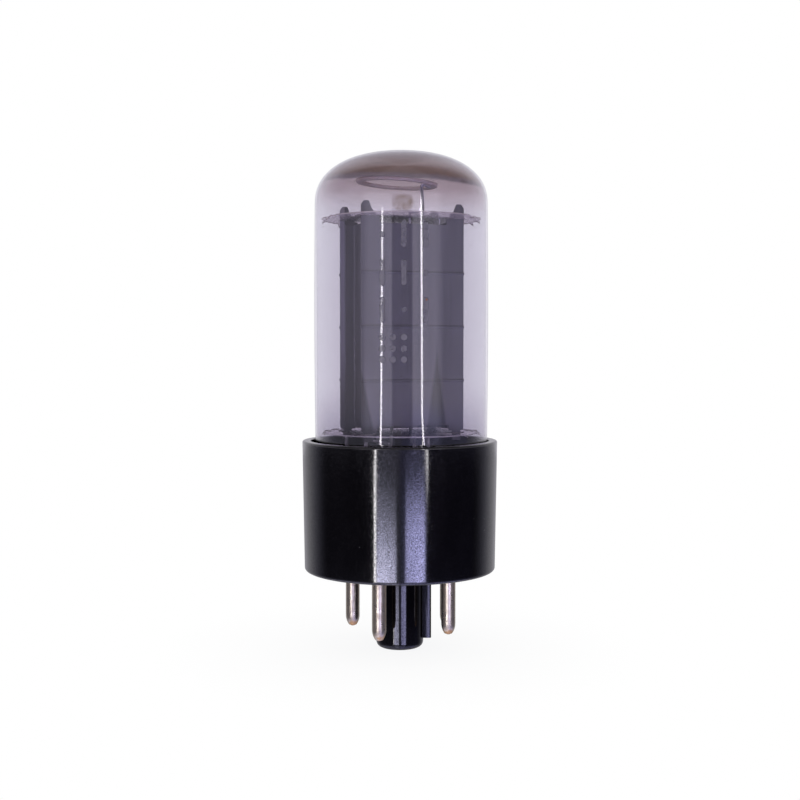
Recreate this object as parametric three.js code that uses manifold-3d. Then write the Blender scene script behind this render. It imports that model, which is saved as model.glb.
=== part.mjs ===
// Full-wave rectifier valve: a straight-sided glass bulb on a five-pin octal base.
//
// Millimetres, +Z up, with the front towards -Y and the key towards +X. Heights in the
// sub-parts are counted from the base's underside, the plane that sits on a socket. The
// finished valve is then lifted, so that the centre of its lug's end is the origin.
// The bulb and everything inside it stand on their own axis, which is a little to the
// +X side of the base's axis.
import * as THREE from 'three';
import { mergeVertices } from 'three/addons/utils/BufferGeometryUtils.js';
import Module from 'manifold-3d';

// Base shell, with its locating lug and key
const BASE_FOOT_RADIUS = 15.95;
const BASE_WAIST_RADIUS = 16.2;
const BASE_WAIST_HEIGHT = 18.5;
const BASE_RIM_RADIUS = 16.3;
const BASE_HEIGHT = 21.7;
const BASE_FLOOR = 3;
const BASE_FOOT_ROUND = 0.5;
const RIM_ROUND = 0.3;
const RIM_INNER_RADIUS = 14.9;
const RIM_LEDGE_HEIGHT = 20.05;
const SKIRT_INNER_RADIUS = 15.1;
const LUG_RADIUS = 3.96;
const LUG_LENGTH = 13.18;
const LUG_ROUND = 1;
const LUG_BORE_RADIUS = 2.95;
const LUG_END_WALL = 1.6;
const KEY_REACH = 5.27;
const KEY_WIDTH = 2;
const KEY_LENGTH = 11.6;

// Contact pins, numbered round the octal circle from the key
const PIN_CIRCLE_RADIUS = 17.45 / 2;
const PIN_RADIUS = 2.36 / 2;
const PIN_BORE_RADIUS = 0.75;
const PIN_END = -10.25;
const PIN_END_RADIUS = 0.62;
const PIN_TAPER = 1.7;
const PIN_TOP = 4;
const PIN_MOUTH_RADIUS = 0.46;
const PIN_HOLE_CLEARANCE = 0.07;
const PIN_NUMBERS = [1, 2, 4, 6, 8];
const SOLDER_RADIUS = 0.42;
const SOLDER_BULGE = 0.2;
const SOLDER_TOP = -8.6;

// Glass bulb
const BULB_OFFSET = 0.24;
const BULB_RADIUS = 14.36;
const BULB_BELLY_RADIUS = 14.49;
const BULB_BELLY_HEIGHT = 41.3;
const BULB_WALL = 1;
const BULB_NECK_HEIGHT = 11;
const BULB_SEAL_RADIUS = 10.8;
const BULB_SEAL_HEIGHT = 6;
const DOME_HEIGHT = 60.85;
const DOME_RISE = 8.7;
const DOME_POWER = 2.3;

// Stem: flare, press and exhaust tube
const FLARE_THROAT_RADIUS = 5.4;
const FLARE_TOP = 10.4;
const SEAL_GAP = 0.06;
const PRESS_WIDTH = 12.6;
const PRESS_THICKNESS = 3.2;
const PRESS_BOTTOM = 10.6;
const PRESS_SHOULDER = 13;
const PRESS_TOP = 17;
const PRESS_HOLE_RADIUS = 0.42;
const EXHAUST_RADIUS = 1.9;
const EXHAUST_WALL = 0.6;
const EXHAUST_TOP = 10.3;
const EXHAUST_TIP = -9.8;

// Cage: two anodes between two micas, turned about the bulb's axis
const CAGE_TURN = THREE.MathUtils.degToRad(21.5);
const ANODE_HALF_WIDTH = 8.98;
const ANODE_FACE = 5.37;
const ANODE_SHEET = 0.25;
const ANODE_BOTTOM = 23.45;
const ANODE_TOP = 58.25;
const EDGE_NOTCH = 0.95;
const RIB_COUNT = 3;
const RIB_LOWEST = 31.75;
const RIB_PITCH = 8.8;
const RIB_HEIGHT = 0.5;
const RIB_DEPTH = 0.2;
const RIB_OVERHANG = 0.14;
const TOP_TAB_WIDTH = 2.5;
const TOP_TAB_TIP_WIDTH = 0.85;
const TOP_TAB_CHAMFER = 0.45;
const TOP_TAB_TOP = 60.75;
const FOOT_TAB_WIDTH = 2;
const FOOT_TAB_END = 21.85;
const FOOT_CORNER = 0.5;
const TAB_SHOULDER = 0.6;
const CHANNEL_HALF_WIDTH = 6.5;
const CHANNEL_FLANGE = 1.7;
const CHANNEL_FLOOR = 0.95;
const CHANNEL_BOTTOM = 23.75;
const CHANNEL_TOP = 57.75;
const WELD_GAP = 0.1;

const MICA_THICKNESS = 0.4;
const MICA_RADIUS = 13.3;
const MICA_TOOTH = 0.45;
const MICA_TEETH = 44;
const MICA_TOP_UNDERSIDE = 58.35;
const MICA_BOTTOM_UNDERSIDE = 22.95;
const SLOT_CLEARANCE = 0.15;

// Filaments, their hooks and the springs that take up their growth
const FILAMENT_SETBACK = 3.05;
const FILAMENT_SPREAD = 3.2;
const FILAMENT_FOOT = 20.85;
const FILAMENT_APEX = 55.85;
const FILAMENT_RIBBON = 1;
const FILAMENT_THICKNESS = 0.15;
const FILAMENT_BEND = 0.55;
const HOOK_WIRE = 0.2;
const HOOK_REACH = 0.85;
const HOOK_ARM = 1.4;
const HOOK_HOLE_RADIUS = 0.45;
const SPRING_WIRE = 0.15;
const SPRING_LENGTH = 5.2;

// Leads
const LEAD_RADIUS = 0.3;
const LEAD_SPLIT = 14;
const LEAD_SPLIT_GAP = 0.3;
const LEAD_IN_PIN = -8.2;
const LEAD_TOP = 22.45;
const LINK_RADIUS = 0.25;
const PRESS_INNER_HOLE = 2.5;
const PRESS_OUTER_HOLE = 3.65;

// Getter ring on its wire
const GETTER_RADIUS = 6.8;
const GETTER_CHANNEL_WIDTH = 1.3;
const GETTER_CHANNEL_HEIGHT = 0.55;
const GETTER_SHEET = 0.2;
const GETTER_CENTRE = new THREE.Vector3(-0.53, 0, 64.45);
const GETTER_TILT = THREE.MathUtils.degToRad(3.6);
const GETTER_WIRE = 0.28;
const GETTER_FOOT = 3.9;

const ROUND_SEGMENTS = 48;
const SMALL_SEGMENTS = 16;

const wasm = await Module();
wasm.setup();

const materials = {
  phenolic: new THREE.MeshStandardMaterial({ color: 0x0b0a0c, roughness: 0.16, metalness: 0 }),
  glass: new THREE.MeshStandardMaterial({
    color: 0xe9e6f0, roughness: 0.03, metalness: 0, transparent: true, opacity: 0.3,
  }),
  pin: new THREE.MeshStandardMaterial({ color: 0xc9c4bf, roughness: 0.22, metalness: 1 }),
  solder: new THREE.MeshStandardMaterial({ color: 0x8a6a45, roughness: 0.45, metalness: 0.8 }),
  anode: new THREE.MeshStandardMaterial({ color: 0x4b4a57, roughness: 0.55, metalness: 0.5 }),
  mica: new THREE.MeshStandardMaterial({ color: 0xd9d5d6, roughness: 0.35, metalness: 0 }),
  nickel: new THREE.MeshStandardMaterial({ color: 0xb9b6b8, roughness: 0.3, metalness: 1 }),
  copper: new THREE.MeshStandardMaterial({ color: 0x9c5f42, roughness: 0.35, metalness: 1 }),
  oxide: new THREE.MeshStandardMaterial({ color: 0xe8e6e0, roughness: 0.9, metalness: 0 }),
  cement: new THREE.MeshStandardMaterial({ color: 0x8b7a5e, roughness: 0.95, metalness: 0 }),
};

function namedMesh(name, geometry, material) {
  const mesh = new THREE.Mesh(geometry, material);
  mesh.name = name;
  return mesh;
}

// A body of revolution about Z. The outline's x is the radius and its y the height,
// and it runs anticlockwise, up the outside and down the inside.
function turned(outline, segments = ROUND_SEGMENTS, arcPoints = 2) {
  const geometry = new THREE.LatheGeometry(outline.getPoints(arcPoints), segments);
  return geometry.rotateX(Math.PI / 2);
}

// A flat sheet standing up: the shape's x is x, its y becomes z, and the thickness
// runs from y = 0 towards -Y.
function standingSheet(shape, thickness, curveSegments = 6) {
  const geometry = new THREE.ExtrudeGeometry(shape, {
    depth: thickness, bevelEnabled: false, curveSegments,
  });
  return geometry.rotateX(Math.PI / 2);
}

function ringPoints(radius, sides, x = 0, y = 0) {
  return Array.from({ length: sides }, (_, i) => {
    const turn = (2 * Math.PI * i) / sides;
    return new THREE.Vector2(x + radius * Math.cos(turn), y + radius * Math.sin(turn));
  });
}

// A round wire along a smooth curve through the given points.
function wire(points, radius, steps = 16, sides = 6) {
  const curve = new THREE.CatmullRomCurve3(points, false, 'centripetal');
  return new THREE.ExtrudeGeometry(new THREE.Shape(ringPoints(radius, sides)), {
    extrudePath: curve, steps, bevelEnabled: false,
  });
}

function toSolid(geometry) {
  const plain = geometry.clone();
  plain.deleteAttribute('normal');
  plain.deleteAttribute('uv');
  const merged = mergeVertices(plain, 1e-4);
  return new wasm.Manifold(new wasm.Mesh({
    numProp: 3,
    vertProperties: new Float32Array(merged.attributes.position.array),
    triVerts: new Uint32Array(merged.index.array),
  }));
}

function fromSolid(solid) {
  const mesh = solid.getMesh();
  const geometry = new THREE.BufferGeometry();
  geometry.setAttribute('position', new THREE.BufferAttribute(mesh.vertProperties, mesh.numProp));
  geometry.setIndex(new THREE.BufferAttribute(mesh.triVerts, 1));
  geometry.computeVertexNormals();
  return geometry;
}

function cylinder(radius, bottom, top, x, y, segments = SMALL_SEGMENTS) {
  const geometry = new THREE.CylinderGeometry(radius, radius, top - bottom, segments);
  return geometry.rotateX(Math.PI / 2).translate(x, y, (bottom + top) / 2);
}

// Where pin n stands: pins are 45 degrees apart and the key lies midway between 8 and 1.
function pinPlace(number) {
  const turn = THREE.MathUtils.degToRad(22.5 + 45 * (number - 1));
  return new THREE.Vector2(
    PIN_CIRCLE_RADIUS * Math.cos(turn),
    PIN_CIRCLE_RADIUS * Math.sin(turn),
  );
}

// A point given on the cage's own axes, in the row's axes.
function fromCage(x, y, z) {
  const point = new THREE.Vector3(x, y, z);
  point.applyAxisAngle(new THREE.Vector3(0, 0, 1), CAGE_TURN);
  point.x += BULB_OFFSET;
  return point;
}

function baseShell() {
  const outline = new THREE.Path();
  outline.moveTo(0, -LUG_LENGTH);
  outline.lineTo(LUG_RADIUS - LUG_ROUND, -LUG_LENGTH);
  outline.absarc(LUG_RADIUS - LUG_ROUND, LUG_ROUND - LUG_LENGTH, LUG_ROUND, -Math.PI / 2, 0);
  outline.lineTo(LUG_RADIUS, 0);
  outline.lineTo(BASE_FOOT_RADIUS - BASE_FOOT_ROUND, 0);
  outline.absarc(
    BASE_FOOT_RADIUS - BASE_FOOT_ROUND, BASE_FOOT_ROUND, BASE_FOOT_ROUND, -Math.PI / 2, 0,
  );
  outline.lineTo(BASE_WAIST_RADIUS, BASE_WAIST_HEIGHT);
  outline.lineTo(BASE_RIM_RADIUS, BASE_HEIGHT - RIM_ROUND);
  outline.absarc(BASE_RIM_RADIUS - RIM_ROUND, BASE_HEIGHT - RIM_ROUND, RIM_ROUND, 0, Math.PI / 2);
  outline.lineTo(RIM_INNER_RADIUS, BASE_HEIGHT);
  outline.lineTo(RIM_INNER_RADIUS, RIM_LEDGE_HEIGHT);
  outline.lineTo(SKIRT_INNER_RADIUS, RIM_LEDGE_HEIGHT);
  outline.lineTo(SKIRT_INNER_RADIUS, BASE_FLOOR);
  outline.lineTo(LUG_BORE_RADIUS, BASE_FLOOR);
  outline.lineTo(LUG_BORE_RADIUS, LUG_END_WALL - LUG_LENGTH);
  outline.lineTo(0, LUG_END_WALL - LUG_LENGTH);

  const keyLength = KEY_REACH - LUG_BORE_RADIUS - 0.4;
  const key = new THREE.BoxGeometry(keyLength, KEY_WIDTH, KEY_LENGTH + BASE_FLOOR / 2);
  key.translate(KEY_REACH - keyLength / 2, 0, (BASE_FLOOR / 2 - KEY_LENGTH) / 2);

  let solid = toSolid(turned(outline)).add(toSolid(key));
  for (const number of PIN_NUMBERS) {
    const { x, y } = pinPlace(number);
    const hole = cylinder(PIN_RADIUS + PIN_HOLE_CLEARANCE, -1, BASE_FLOOR + 1, x, y, 24);
    solid = solid.subtract(toSolid(hole));
  }
  return namedMesh('base_shell', fromSolid(solid), materials.phenolic);
}

// The ring of cement between the skirt and the bulb, thicker on the side the bulb leaves.
function baseCement() {
  const outer = toSolid(cylinder(SKIRT_INNER_RADIUS - SEAL_GAP, 11.5, 18.6, 0, 0, ROUND_SEGMENTS));
  const bulb = toSolid(cylinder(BULB_RADIUS + SEAL_GAP, 11, 19, BULB_OFFSET, 0, ROUND_SEGMENTS));
  return namedMesh('base_cement', fromSolid(outer.subtract(bulb)), materials.cement);
}

// A drawn tube with a nosed end, open right through, standing in the base's floor.
function contactPin(number) {
  const outline = new THREE.Path();
  outline.moveTo(PIN_MOUTH_RADIUS, PIN_END);
  outline.lineTo(PIN_END_RADIUS, PIN_END);
  outline.quadraticCurveTo(PIN_RADIUS, PIN_END + PIN_TAPER / 2, PIN_RADIUS, PIN_END + PIN_TAPER);
  outline.lineTo(PIN_RADIUS, PIN_TOP);
  outline.lineTo(PIN_BORE_RADIUS, PIN_TOP);
  outline.lineTo(PIN_BORE_RADIUS, PIN_END + PIN_TAPER);
  outline.lineTo(PIN_MOUTH_RADIUS, PIN_END + PIN_TAPER / 2);
  outline.closePath();
  const mesh = namedMesh(`pin_${number}`, turned(outline, SMALL_SEGMENTS, 4), materials.pin);
  mesh.position.set(pinPlace(number).x, pinPlace(number).y, 0);
  return mesh;
}

// The solder that fills a pin's mouth and stands out of it as a small dome.
function pinSolder(number) {
  const bulge = PIN_END - SOLDER_BULGE;
  const outline = new THREE.Path();
  outline.moveTo(0, bulge);
  outline.quadraticCurveTo(SOLDER_RADIUS, bulge, SOLDER_RADIUS, PIN_END);
  outline.lineTo(SOLDER_RADIUS, SOLDER_TOP);
  outline.lineTo(0, SOLDER_TOP);
  const geometry = turned(outline, 12, 2);
  const mesh = namedMesh(`solder_${number}`, geometry, materials.solder);
  mesh.position.set(pinPlace(number).x, pinPlace(number).y, 0);
  return mesh;
}

// A quarter of the dome's curve, from its top on the axis or back to it.
function domePoints(radius, rise, fromTop, count = 9) {
  const points = [];
  for (let i = 0; i <= count; i += 1) {
    const part = fromTop ? i / count : 1 - i / count;
    const turn = (Math.PI / 2) * (1 - part);
    points.push(new THREE.Vector2(
      radius * Math.cos(turn) ** (2 / DOME_POWER),
      DOME_HEIGHT + rise * Math.sin(turn) ** (2 / DOME_POWER),
    ));
  }
  points[fromTop ? 0 : count].x = 0;
  return points;
}

function glassBulb() {
  const inner = BULB_RADIUS - BULB_WALL;
  const sealWidth = BULB_RADIUS - BULB_SEAL_RADIUS;
  const neckDrop = BULB_NECK_HEIGHT - BULB_SEAL_HEIGHT;
  const outline = new THREE.Path();
  outline.moveTo(BULB_SEAL_RADIUS, BULB_SEAL_HEIGHT);
  outline.absellipse(
    BULB_SEAL_RADIUS, BULB_NECK_HEIGHT, sealWidth, neckDrop, -Math.PI / 2, 0,
  );
  outline.lineTo(BULB_RADIUS, BASE_HEIGHT);
  outline.quadraticCurveTo(
    2 * BULB_BELLY_RADIUS - BULB_RADIUS, BULB_BELLY_HEIGHT, BULB_RADIUS, DOME_HEIGHT,
  );
  const inside = new THREE.Path();
  inside.moveTo(inner, DOME_HEIGHT);
  inside.lineTo(inner, BULB_NECK_HEIGHT);
  inside.absellipse(
    BULB_SEAL_RADIUS, BULB_NECK_HEIGHT, sealWidth - BULB_WALL, neckDrop - BULB_WALL,
    0, -Math.PI / 2, true,
  );
  inside.lineTo(BULB_SEAL_RADIUS, BULB_SEAL_HEIGHT);
  const points = [
    ...outline.getPoints(3),
    ...domePoints(BULB_RADIUS, DOME_RISE, false),
    ...domePoints(inner, DOME_RISE - BULB_WALL, true),
    ...inside.getPoints(3),
  ];
  const profile = points.filter((point, i) => i === 0 || !point.equals(points[i - 1]));
  const geometry = new THREE.LatheGeometry(profile, ROUND_SEGMENTS).rotateX(Math.PI / 2);
  return namedMesh('glass_bulb', geometry, materials.glass);
}

// The funnel of glass that closes the bulb's foot and narrows to the press.
function stemFlare() {
  const lip = BULB_SEAL_RADIUS - SEAL_GAP;
  const top = BULB_SEAL_HEIGHT + BULB_WALL;
  const outline = new THREE.Path();
  outline.moveTo(FLARE_THROAT_RADIUS - BULB_WALL, FLARE_TOP);
  outline.quadraticCurveTo(FLARE_THROAT_RADIUS, BULB_SEAL_HEIGHT, lip, BULB_SEAL_HEIGHT);
  outline.lineTo(lip, top);
  outline.quadraticCurveTo(FLARE_THROAT_RADIUS + BULB_WALL, top, FLARE_THROAT_RADIUS, FLARE_TOP);
  outline.closePath();
  return namedMesh('stem_flare', turned(outline, 32, 5), materials.glass);
}

// The flattened head of the stem, which seals the leads. It grows from the round throat
// of the flare into a flat slab.
function stemPress() {
  const sides = 32;
  const levels = [
    { z: PRESS_BOTTOM, x: FLARE_THROAT_RADIUS, y: FLARE_THROAT_RADIUS },
    { z: PRESS_SHOULDER, x: PRESS_WIDTH / 2, y: PRESS_THICKNESS / 2 },
    { z: PRESS_TOP, x: PRESS_WIDTH / 2, y: PRESS_THICKNESS / 2 },
  ];
  const positions = [];
  const triangles = [];
  for (const level of levels) {
    for (let i = 0; i < sides; i += 1) {
      const turn = (2 * Math.PI * i) / sides;
      positions.push(level.x * Math.cos(turn), level.y * Math.sin(turn), level.z);
    }
  }
  for (let row = 0; row < levels.length - 1; row += 1) {
    for (let i = 0; i < sides; i += 1) {
      const next = (i + 1) % sides;
      const [a, b] = [row * sides + i, row * sides + next];
      const [c, d] = [a + sides, b + sides];
      triangles.push(a, b, d, a, d, c);
    }
  }
  const top = (levels.length - 1) * sides;
  for (let i = 1; i < sides - 1; i += 1) {
    triangles.push(0, i + 1, i, top, top + i, top + i + 1);
  }
  const geometry = new THREE.BufferGeometry();
  geometry.setAttribute('position', new THREE.Float32BufferAttribute(positions, 3));
  geometry.setIndex(triangles);
  let solid = toSolid(geometry);
  for (const x of [-PRESS_OUTER_HOLE, -PRESS_INNER_HOLE, PRESS_INNER_HOLE, PRESS_OUTER_HOLE]) {
    const hole = cylinder(PRESS_HOLE_RADIUS, PRESS_BOTTOM - 1, PRESS_TOP + 1, x, 0, 12);
    solid = solid.subtract(toSolid(hole));
  }
  return namedMesh('stem_press', fromSolid(solid), materials.glass);
}

// The tube the bulb was pumped through, sealed off to a tip inside the lug.
function exhaustTube() {
  const inner = EXHAUST_RADIUS - EXHAUST_WALL;
  const shoulder = EXHAUST_TIP + 2 * EXHAUST_RADIUS;
  const outline = new THREE.Path();
  outline.moveTo(0, EXHAUST_TIP);
  outline.quadraticCurveTo(EXHAUST_RADIUS, EXHAUST_TIP + EXHAUST_WALL, EXHAUST_RADIUS, shoulder);
  outline.lineTo(EXHAUST_RADIUS, EXHAUST_TOP);
  outline.lineTo(inner, EXHAUST_TOP);
  outline.lineTo(inner, shoulder);
  outline.quadraticCurveTo(inner, EXHAUST_TIP + 2 * EXHAUST_WALL, 0, EXHAUST_TIP + 2 * EXHAUST_WALL);
  return namedMesh('exhaust_tube', turned(outline, 20, 3), materials.glass);
}

// The outer sheet of an anode: ribbed, notched along its top and bottom edges, and held
// by two horn-shaped tabs through the upper mica and two straight ones through the lower.
function anodeFace(name) {
  const half = ANODE_HALF_WIDTH;
  const topTab = half - TOP_TAB_WIDTH;
  const footTab = half - FOOT_TAB_WIDTH;
  const foot = half - FOOT_CORNER;
  const tipOuter = half - TOP_TAB_CHAMFER;
  const tipInner = tipOuter - TOP_TAB_TIP_WIDTH;
  const overMica = MICA_TOP_UNDERSIDE + MICA_THICKNESS;
  const shape = new THREE.Shape();
  shape.moveTo(foot, FOOT_TAB_END);
  shape.lineTo(foot, ANODE_BOTTOM);
  shape.quadraticCurveTo(half, ANODE_BOTTOM, half, ANODE_BOTTOM + FOOT_CORNER);
  shape.lineTo(half, TOP_TAB_TOP - 1.4 * TOP_TAB_CHAMFER);
  shape.lineTo(tipOuter, TOP_TAB_TOP);
  shape.lineTo(tipInner, TOP_TAB_TOP);
  shape.quadraticCurveTo(tipInner - TOP_TAB_CHAMFER, overMica + 0.5, topTab, overMica);
  shape.lineTo(topTab, ANODE_TOP);
  shape.lineTo(topTab - TAB_SHOULDER, ANODE_TOP);
  shape.lineTo(topTab - TAB_SHOULDER, ANODE_TOP - EDGE_NOTCH);
  shape.lineTo(TAB_SHOULDER - topTab, ANODE_TOP - EDGE_NOTCH);
  shape.lineTo(TAB_SHOULDER - topTab, ANODE_TOP);
  shape.lineTo(-topTab, ANODE_TOP);
  shape.lineTo(-topTab, overMica);
  shape.quadraticCurveTo(TOP_TAB_CHAMFER - tipInner, overMica + 0.5, -tipInner, TOP_TAB_TOP);
  shape.lineTo(-tipOuter, TOP_TAB_TOP);
  shape.lineTo(-half, TOP_TAB_TOP - 1.4 * TOP_TAB_CHAMFER);
  shape.lineTo(-half, ANODE_BOTTOM + FOOT_CORNER);
  shape.quadraticCurveTo(-half, ANODE_BOTTOM, -foot, ANODE_BOTTOM);
  shape.lineTo(-foot, FOOT_TAB_END);
  shape.lineTo(-footTab, FOOT_TAB_END);
  shape.lineTo(-footTab, ANODE_BOTTOM);
  shape.lineTo(TAB_SHOULDER - footTab, ANODE_BOTTOM);
  shape.lineTo(TAB_SHOULDER - footTab, ANODE_BOTTOM + EDGE_NOTCH);
  shape.lineTo(footTab - TAB_SHOULDER, ANODE_BOTTOM + EDGE_NOTCH);
  shape.lineTo(footTab - TAB_SHOULDER, ANODE_BOTTOM);
  shape.lineTo(footTab, ANODE_BOTTOM);
  shape.lineTo(footTab, FOOT_TAB_END);

  let solid = toSolid(standingSheet(shape, ANODE_SHEET));
  const ribLength = 2 * (half + RIB_OVERHANG);
  for (let i = 1; i <= RIB_COUNT; i += 1) {
    const section = new THREE.Shape();
    section.moveTo(-RIB_HEIGHT / 2, ANODE_SHEET / 2);
    section.absellipse(0, 0, RIB_HEIGHT / 2, RIB_DEPTH, Math.PI, 0, false);
    section.lineTo(RIB_HEIGHT / 2, ANODE_SHEET / 2);
    const rib = new THREE.ExtrudeGeometry(section, {
      depth: ribLength, bevelEnabled: false, curveSegments: 4,
    });
    const height = RIB_LOWEST + RIB_PITCH * (i - 1);
    rib.rotateY(Math.PI / 2).translate(-ribLength / 2, -ANODE_SHEET, height);
    solid = solid.add(toSolid(rib));
  }
  const mesh = namedMesh(name, fromSolid(solid), materials.anode);
  mesh.position.y = ANODE_SHEET - ANODE_FACE;
  return mesh;
}

// The inner sheet of an anode: a channel round the filament, with a flange each side
// that is welded to the outer sheet.
function anodeChannel(name) {
  const back = ANODE_SHEET + WELD_GAP - ANODE_FACE;
  const wall = CHANNEL_HALF_WIDTH;
  const flange = wall + CHANNEL_FLANGE;
  const sheet = ANODE_SHEET;
  const corner = 1.2;
  const shape = new THREE.Shape();
  shape.moveTo(-flange, back);
  shape.lineTo(sheet - wall, back);
  shape.lineTo(sheet - wall, -CHANNEL_FLOOR - corner);
  shape.quadraticCurveTo(
    sheet - wall, -CHANNEL_FLOOR - sheet, corner - wall, -CHANNEL_FLOOR - sheet,
  );
  shape.lineTo(wall - corner, -CHANNEL_FLOOR - sheet);
  shape.quadraticCurveTo(
    wall - sheet, -CHANNEL_FLOOR - sheet, wall - sheet, -CHANNEL_FLOOR - corner,
  );
  shape.lineTo(wall - sheet, back);
  shape.lineTo(flange, back);
  shape.lineTo(flange, back + sheet);
  shape.lineTo(wall, back + sheet);
  shape.lineTo(wall, -CHANNEL_FLOOR - corner);
  shape.quadraticCurveTo(wall, -CHANNEL_FLOOR, wall - corner, -CHANNEL_FLOOR);
  shape.lineTo(corner - wall, -CHANNEL_FLOOR);
  shape.quadraticCurveTo(-wall, -CHANNEL_FLOOR, -wall, -CHANNEL_FLOOR - corner);
  shape.lineTo(-wall, back + sheet);
  shape.lineTo(-flange, back + sheet);
  const geometry = new THREE.ExtrudeGeometry(shape, {
    depth: CHANNEL_TOP - CHANNEL_BOTTOM, bevelEnabled: false, curveSegments: 4,
  });
  const mesh = namedMesh(name, geometry, materials.anode);
  mesh.position.z = CHANNEL_BOTTOM;
  return mesh;
}

// Cutters for a mica's openings, which pass right through it.
function slotCutter(x, y, width, depth) {
  return new THREE.BoxGeometry(width, depth, 3 * MICA_THICKNESS).translate(x, y, 0);
}

function roundCutter(x, y) {
  return cylinder(HOOK_HOLE_RADIUS, -2 * MICA_THICKNESS, 2 * MICA_THICKNESS, x, y, 10);
}

// A mica disc whose toothed edge grips the bulb.
function mica(name, underside, cutters) {
  const tips = ringPoints(MICA_RADIUS, 2 * MICA_TEETH);
  const roots = ringPoints(MICA_RADIUS - MICA_TOOTH, 2 * MICA_TEETH);
  const outline = tips.map((tip, i) => (i % 2 ? roots[i] : tip));
  const disc = new THREE.ExtrudeGeometry(new THREE.Shape(outline), {
    depth: MICA_THICKNESS, bevelEnabled: false,
  });
  let solid = toSolid(disc);
  for (const cutter of cutters) {
    solid = solid.subtract(toSolid(cutter));
  }
  const mesh = namedMesh(name, fromSolid(solid), materials.mica);
  mesh.position.z = underside;
  return mesh;
}

// The slots in a mica for the four tabs of the two anodes.
function tabSlots(tabWidth) {
  const middle = ANODE_HALF_WIDTH - tabWidth / 2;
  const setback = ANODE_FACE - ANODE_SHEET / 2;
  const slots = [];
  for (const side of [-1, 1]) {
    for (const face of [-1, 1]) {
      slots.push(slotCutter(
        side * middle, face * setback,
        tabWidth + 2 * SLOT_CLEARANCE, ANODE_SHEET + 2 * SLOT_CLEARANCE,
      ));
    }
  }
  return slots;
}

function topMica() {
  const cutters = tabSlots(TOP_TAB_WIDTH);
  for (const face of [-1, 1]) {
    const shank = face * (FILAMENT_SETBACK + HOOK_REACH);
    cutters.push(roundCutter(0, shank), roundCutter(-face * SPRING_LENGTH, shank));
  }
  cutters.push(roundCutter(GETTER_FOOT, 0));
  return mica('mica_top', MICA_TOP_UNDERSIDE, cutters);
}

function bottomMica() {
  const cutters = tabSlots(FOOT_TAB_WIDTH);
  const rise = (MICA_BOTTOM_UNDERSIDE - FILAMENT_FOOT) / (FILAMENT_APEX - FILAMENT_FOOT);
  const legs = FILAMENT_SPREAD * (1 - rise);
  for (const side of [-1, 1]) {
    for (const face of [-1, 1]) {
      cutters.push(slotCutter(side * legs, face * FILAMENT_SETBACK, 1, FILAMENT_RIBBON + 0.4));
    }
  }
  return mica('mica_bottom', MICA_BOTTOM_UNDERSIDE, cutters);
}

// A coated ribbon hung over its hook as an upside-down V, with its flat side to the side.
function filament(name) {
  const inside = FILAMENT_THICKNESS;
  const apex = FILAMENT_APEX;
  const foot = FILAMENT_FOOT;
  const shape = new THREE.Shape();
  shape.moveTo(FILAMENT_SPREAD, foot);
  shape.lineTo(FILAMENT_BEND, apex - 2 * FILAMENT_BEND);
  shape.quadraticCurveTo(FILAMENT_BEND - 0.1, apex, 0, apex);
  shape.quadraticCurveTo(0.1 - FILAMENT_BEND, apex, -FILAMENT_BEND, apex - 2 * FILAMENT_BEND);
  shape.lineTo(-FILAMENT_SPREAD, foot);
  shape.lineTo(inside - FILAMENT_SPREAD, foot);
  shape.lineTo(inside - FILAMENT_BEND, apex - 2 * FILAMENT_BEND);
  shape.quadraticCurveTo(inside + 0.1 - FILAMENT_BEND, apex - inside, 0, apex - inside);
  shape.quadraticCurveTo(
    FILAMENT_BEND - 0.1 - inside, apex - inside, FILAMENT_BEND - inside, apex - 2 * FILAMENT_BEND,
  );
  shape.lineTo(FILAMENT_SPREAD - inside, foot);
  const mesh = namedMesh(name, standingSheet(shape, FILAMENT_RIBBON, 4), materials.oxide);
  mesh.position.y = FILAMENT_RIBBON / 2 - FILAMENT_SETBACK;
  return mesh;
}

// The wire hook that holds a filament's bend. Its shank goes up through the mica, and
// its arm lies over the free end of the spring. It slides up as the filament grows.
function filamentHook(name) {
  const middle = -FILAMENT_SETBACK;
  const shank = middle - HOOK_REACH;
  const crook = FILAMENT_APEX - FILAMENT_THICKNESS - HOOK_WIRE - 0.1;
  const arm = MICA_TOP_UNDERSIDE + MICA_THICKNESS + 2 * SPRING_WIRE + HOOK_WIRE + 0.2;
  const points = [
    new THREE.Vector3(0, middle + HOOK_REACH, crook + 0.7),
    new THREE.Vector3(0, middle + HOOK_REACH, crook + 0.35),
    new THREE.Vector3(0, middle + HOOK_REACH - 0.3, crook),
    new THREE.Vector3(0, middle, crook),
    new THREE.Vector3(0, shank + 0.3, crook),
    new THREE.Vector3(0, shank, crook + 0.4),
    new THREE.Vector3(0, shank, crook + 1.5),
    new THREE.Vector3(0, shank, arm - 0.35),
    new THREE.Vector3(0.35, shank, arm),
    new THREE.Vector3(HOOK_ARM, shank, arm),
  ];
  return namedMesh(name, wire(points, HOOK_WIRE, 22), materials.nickel);
}

// A springy wire along the top of the mica, with its fixed end turned down through it.
function filamentSpring(name) {
  const shank = -FILAMENT_SETBACK - HOOK_REACH;
  const lie = MICA_TOP_UNDERSIDE + MICA_THICKNESS + SPRING_WIRE + 0.1;
  const points = [
    new THREE.Vector3(SPRING_LENGTH, shank, MICA_TOP_UNDERSIDE - 0.9),
    new THREE.Vector3(SPRING_LENGTH, shank, lie - 0.4),
    new THREE.Vector3(SPRING_LENGTH - 0.4, shank, lie),
    new THREE.Vector3(SPRING_LENGTH / 2, shank, lie),
    new THREE.Vector3(0.55, shank, lie),
  ];
  return namedMesh(name, wire(points, SPRING_WIRE, 12), materials.nickel);
}

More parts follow.
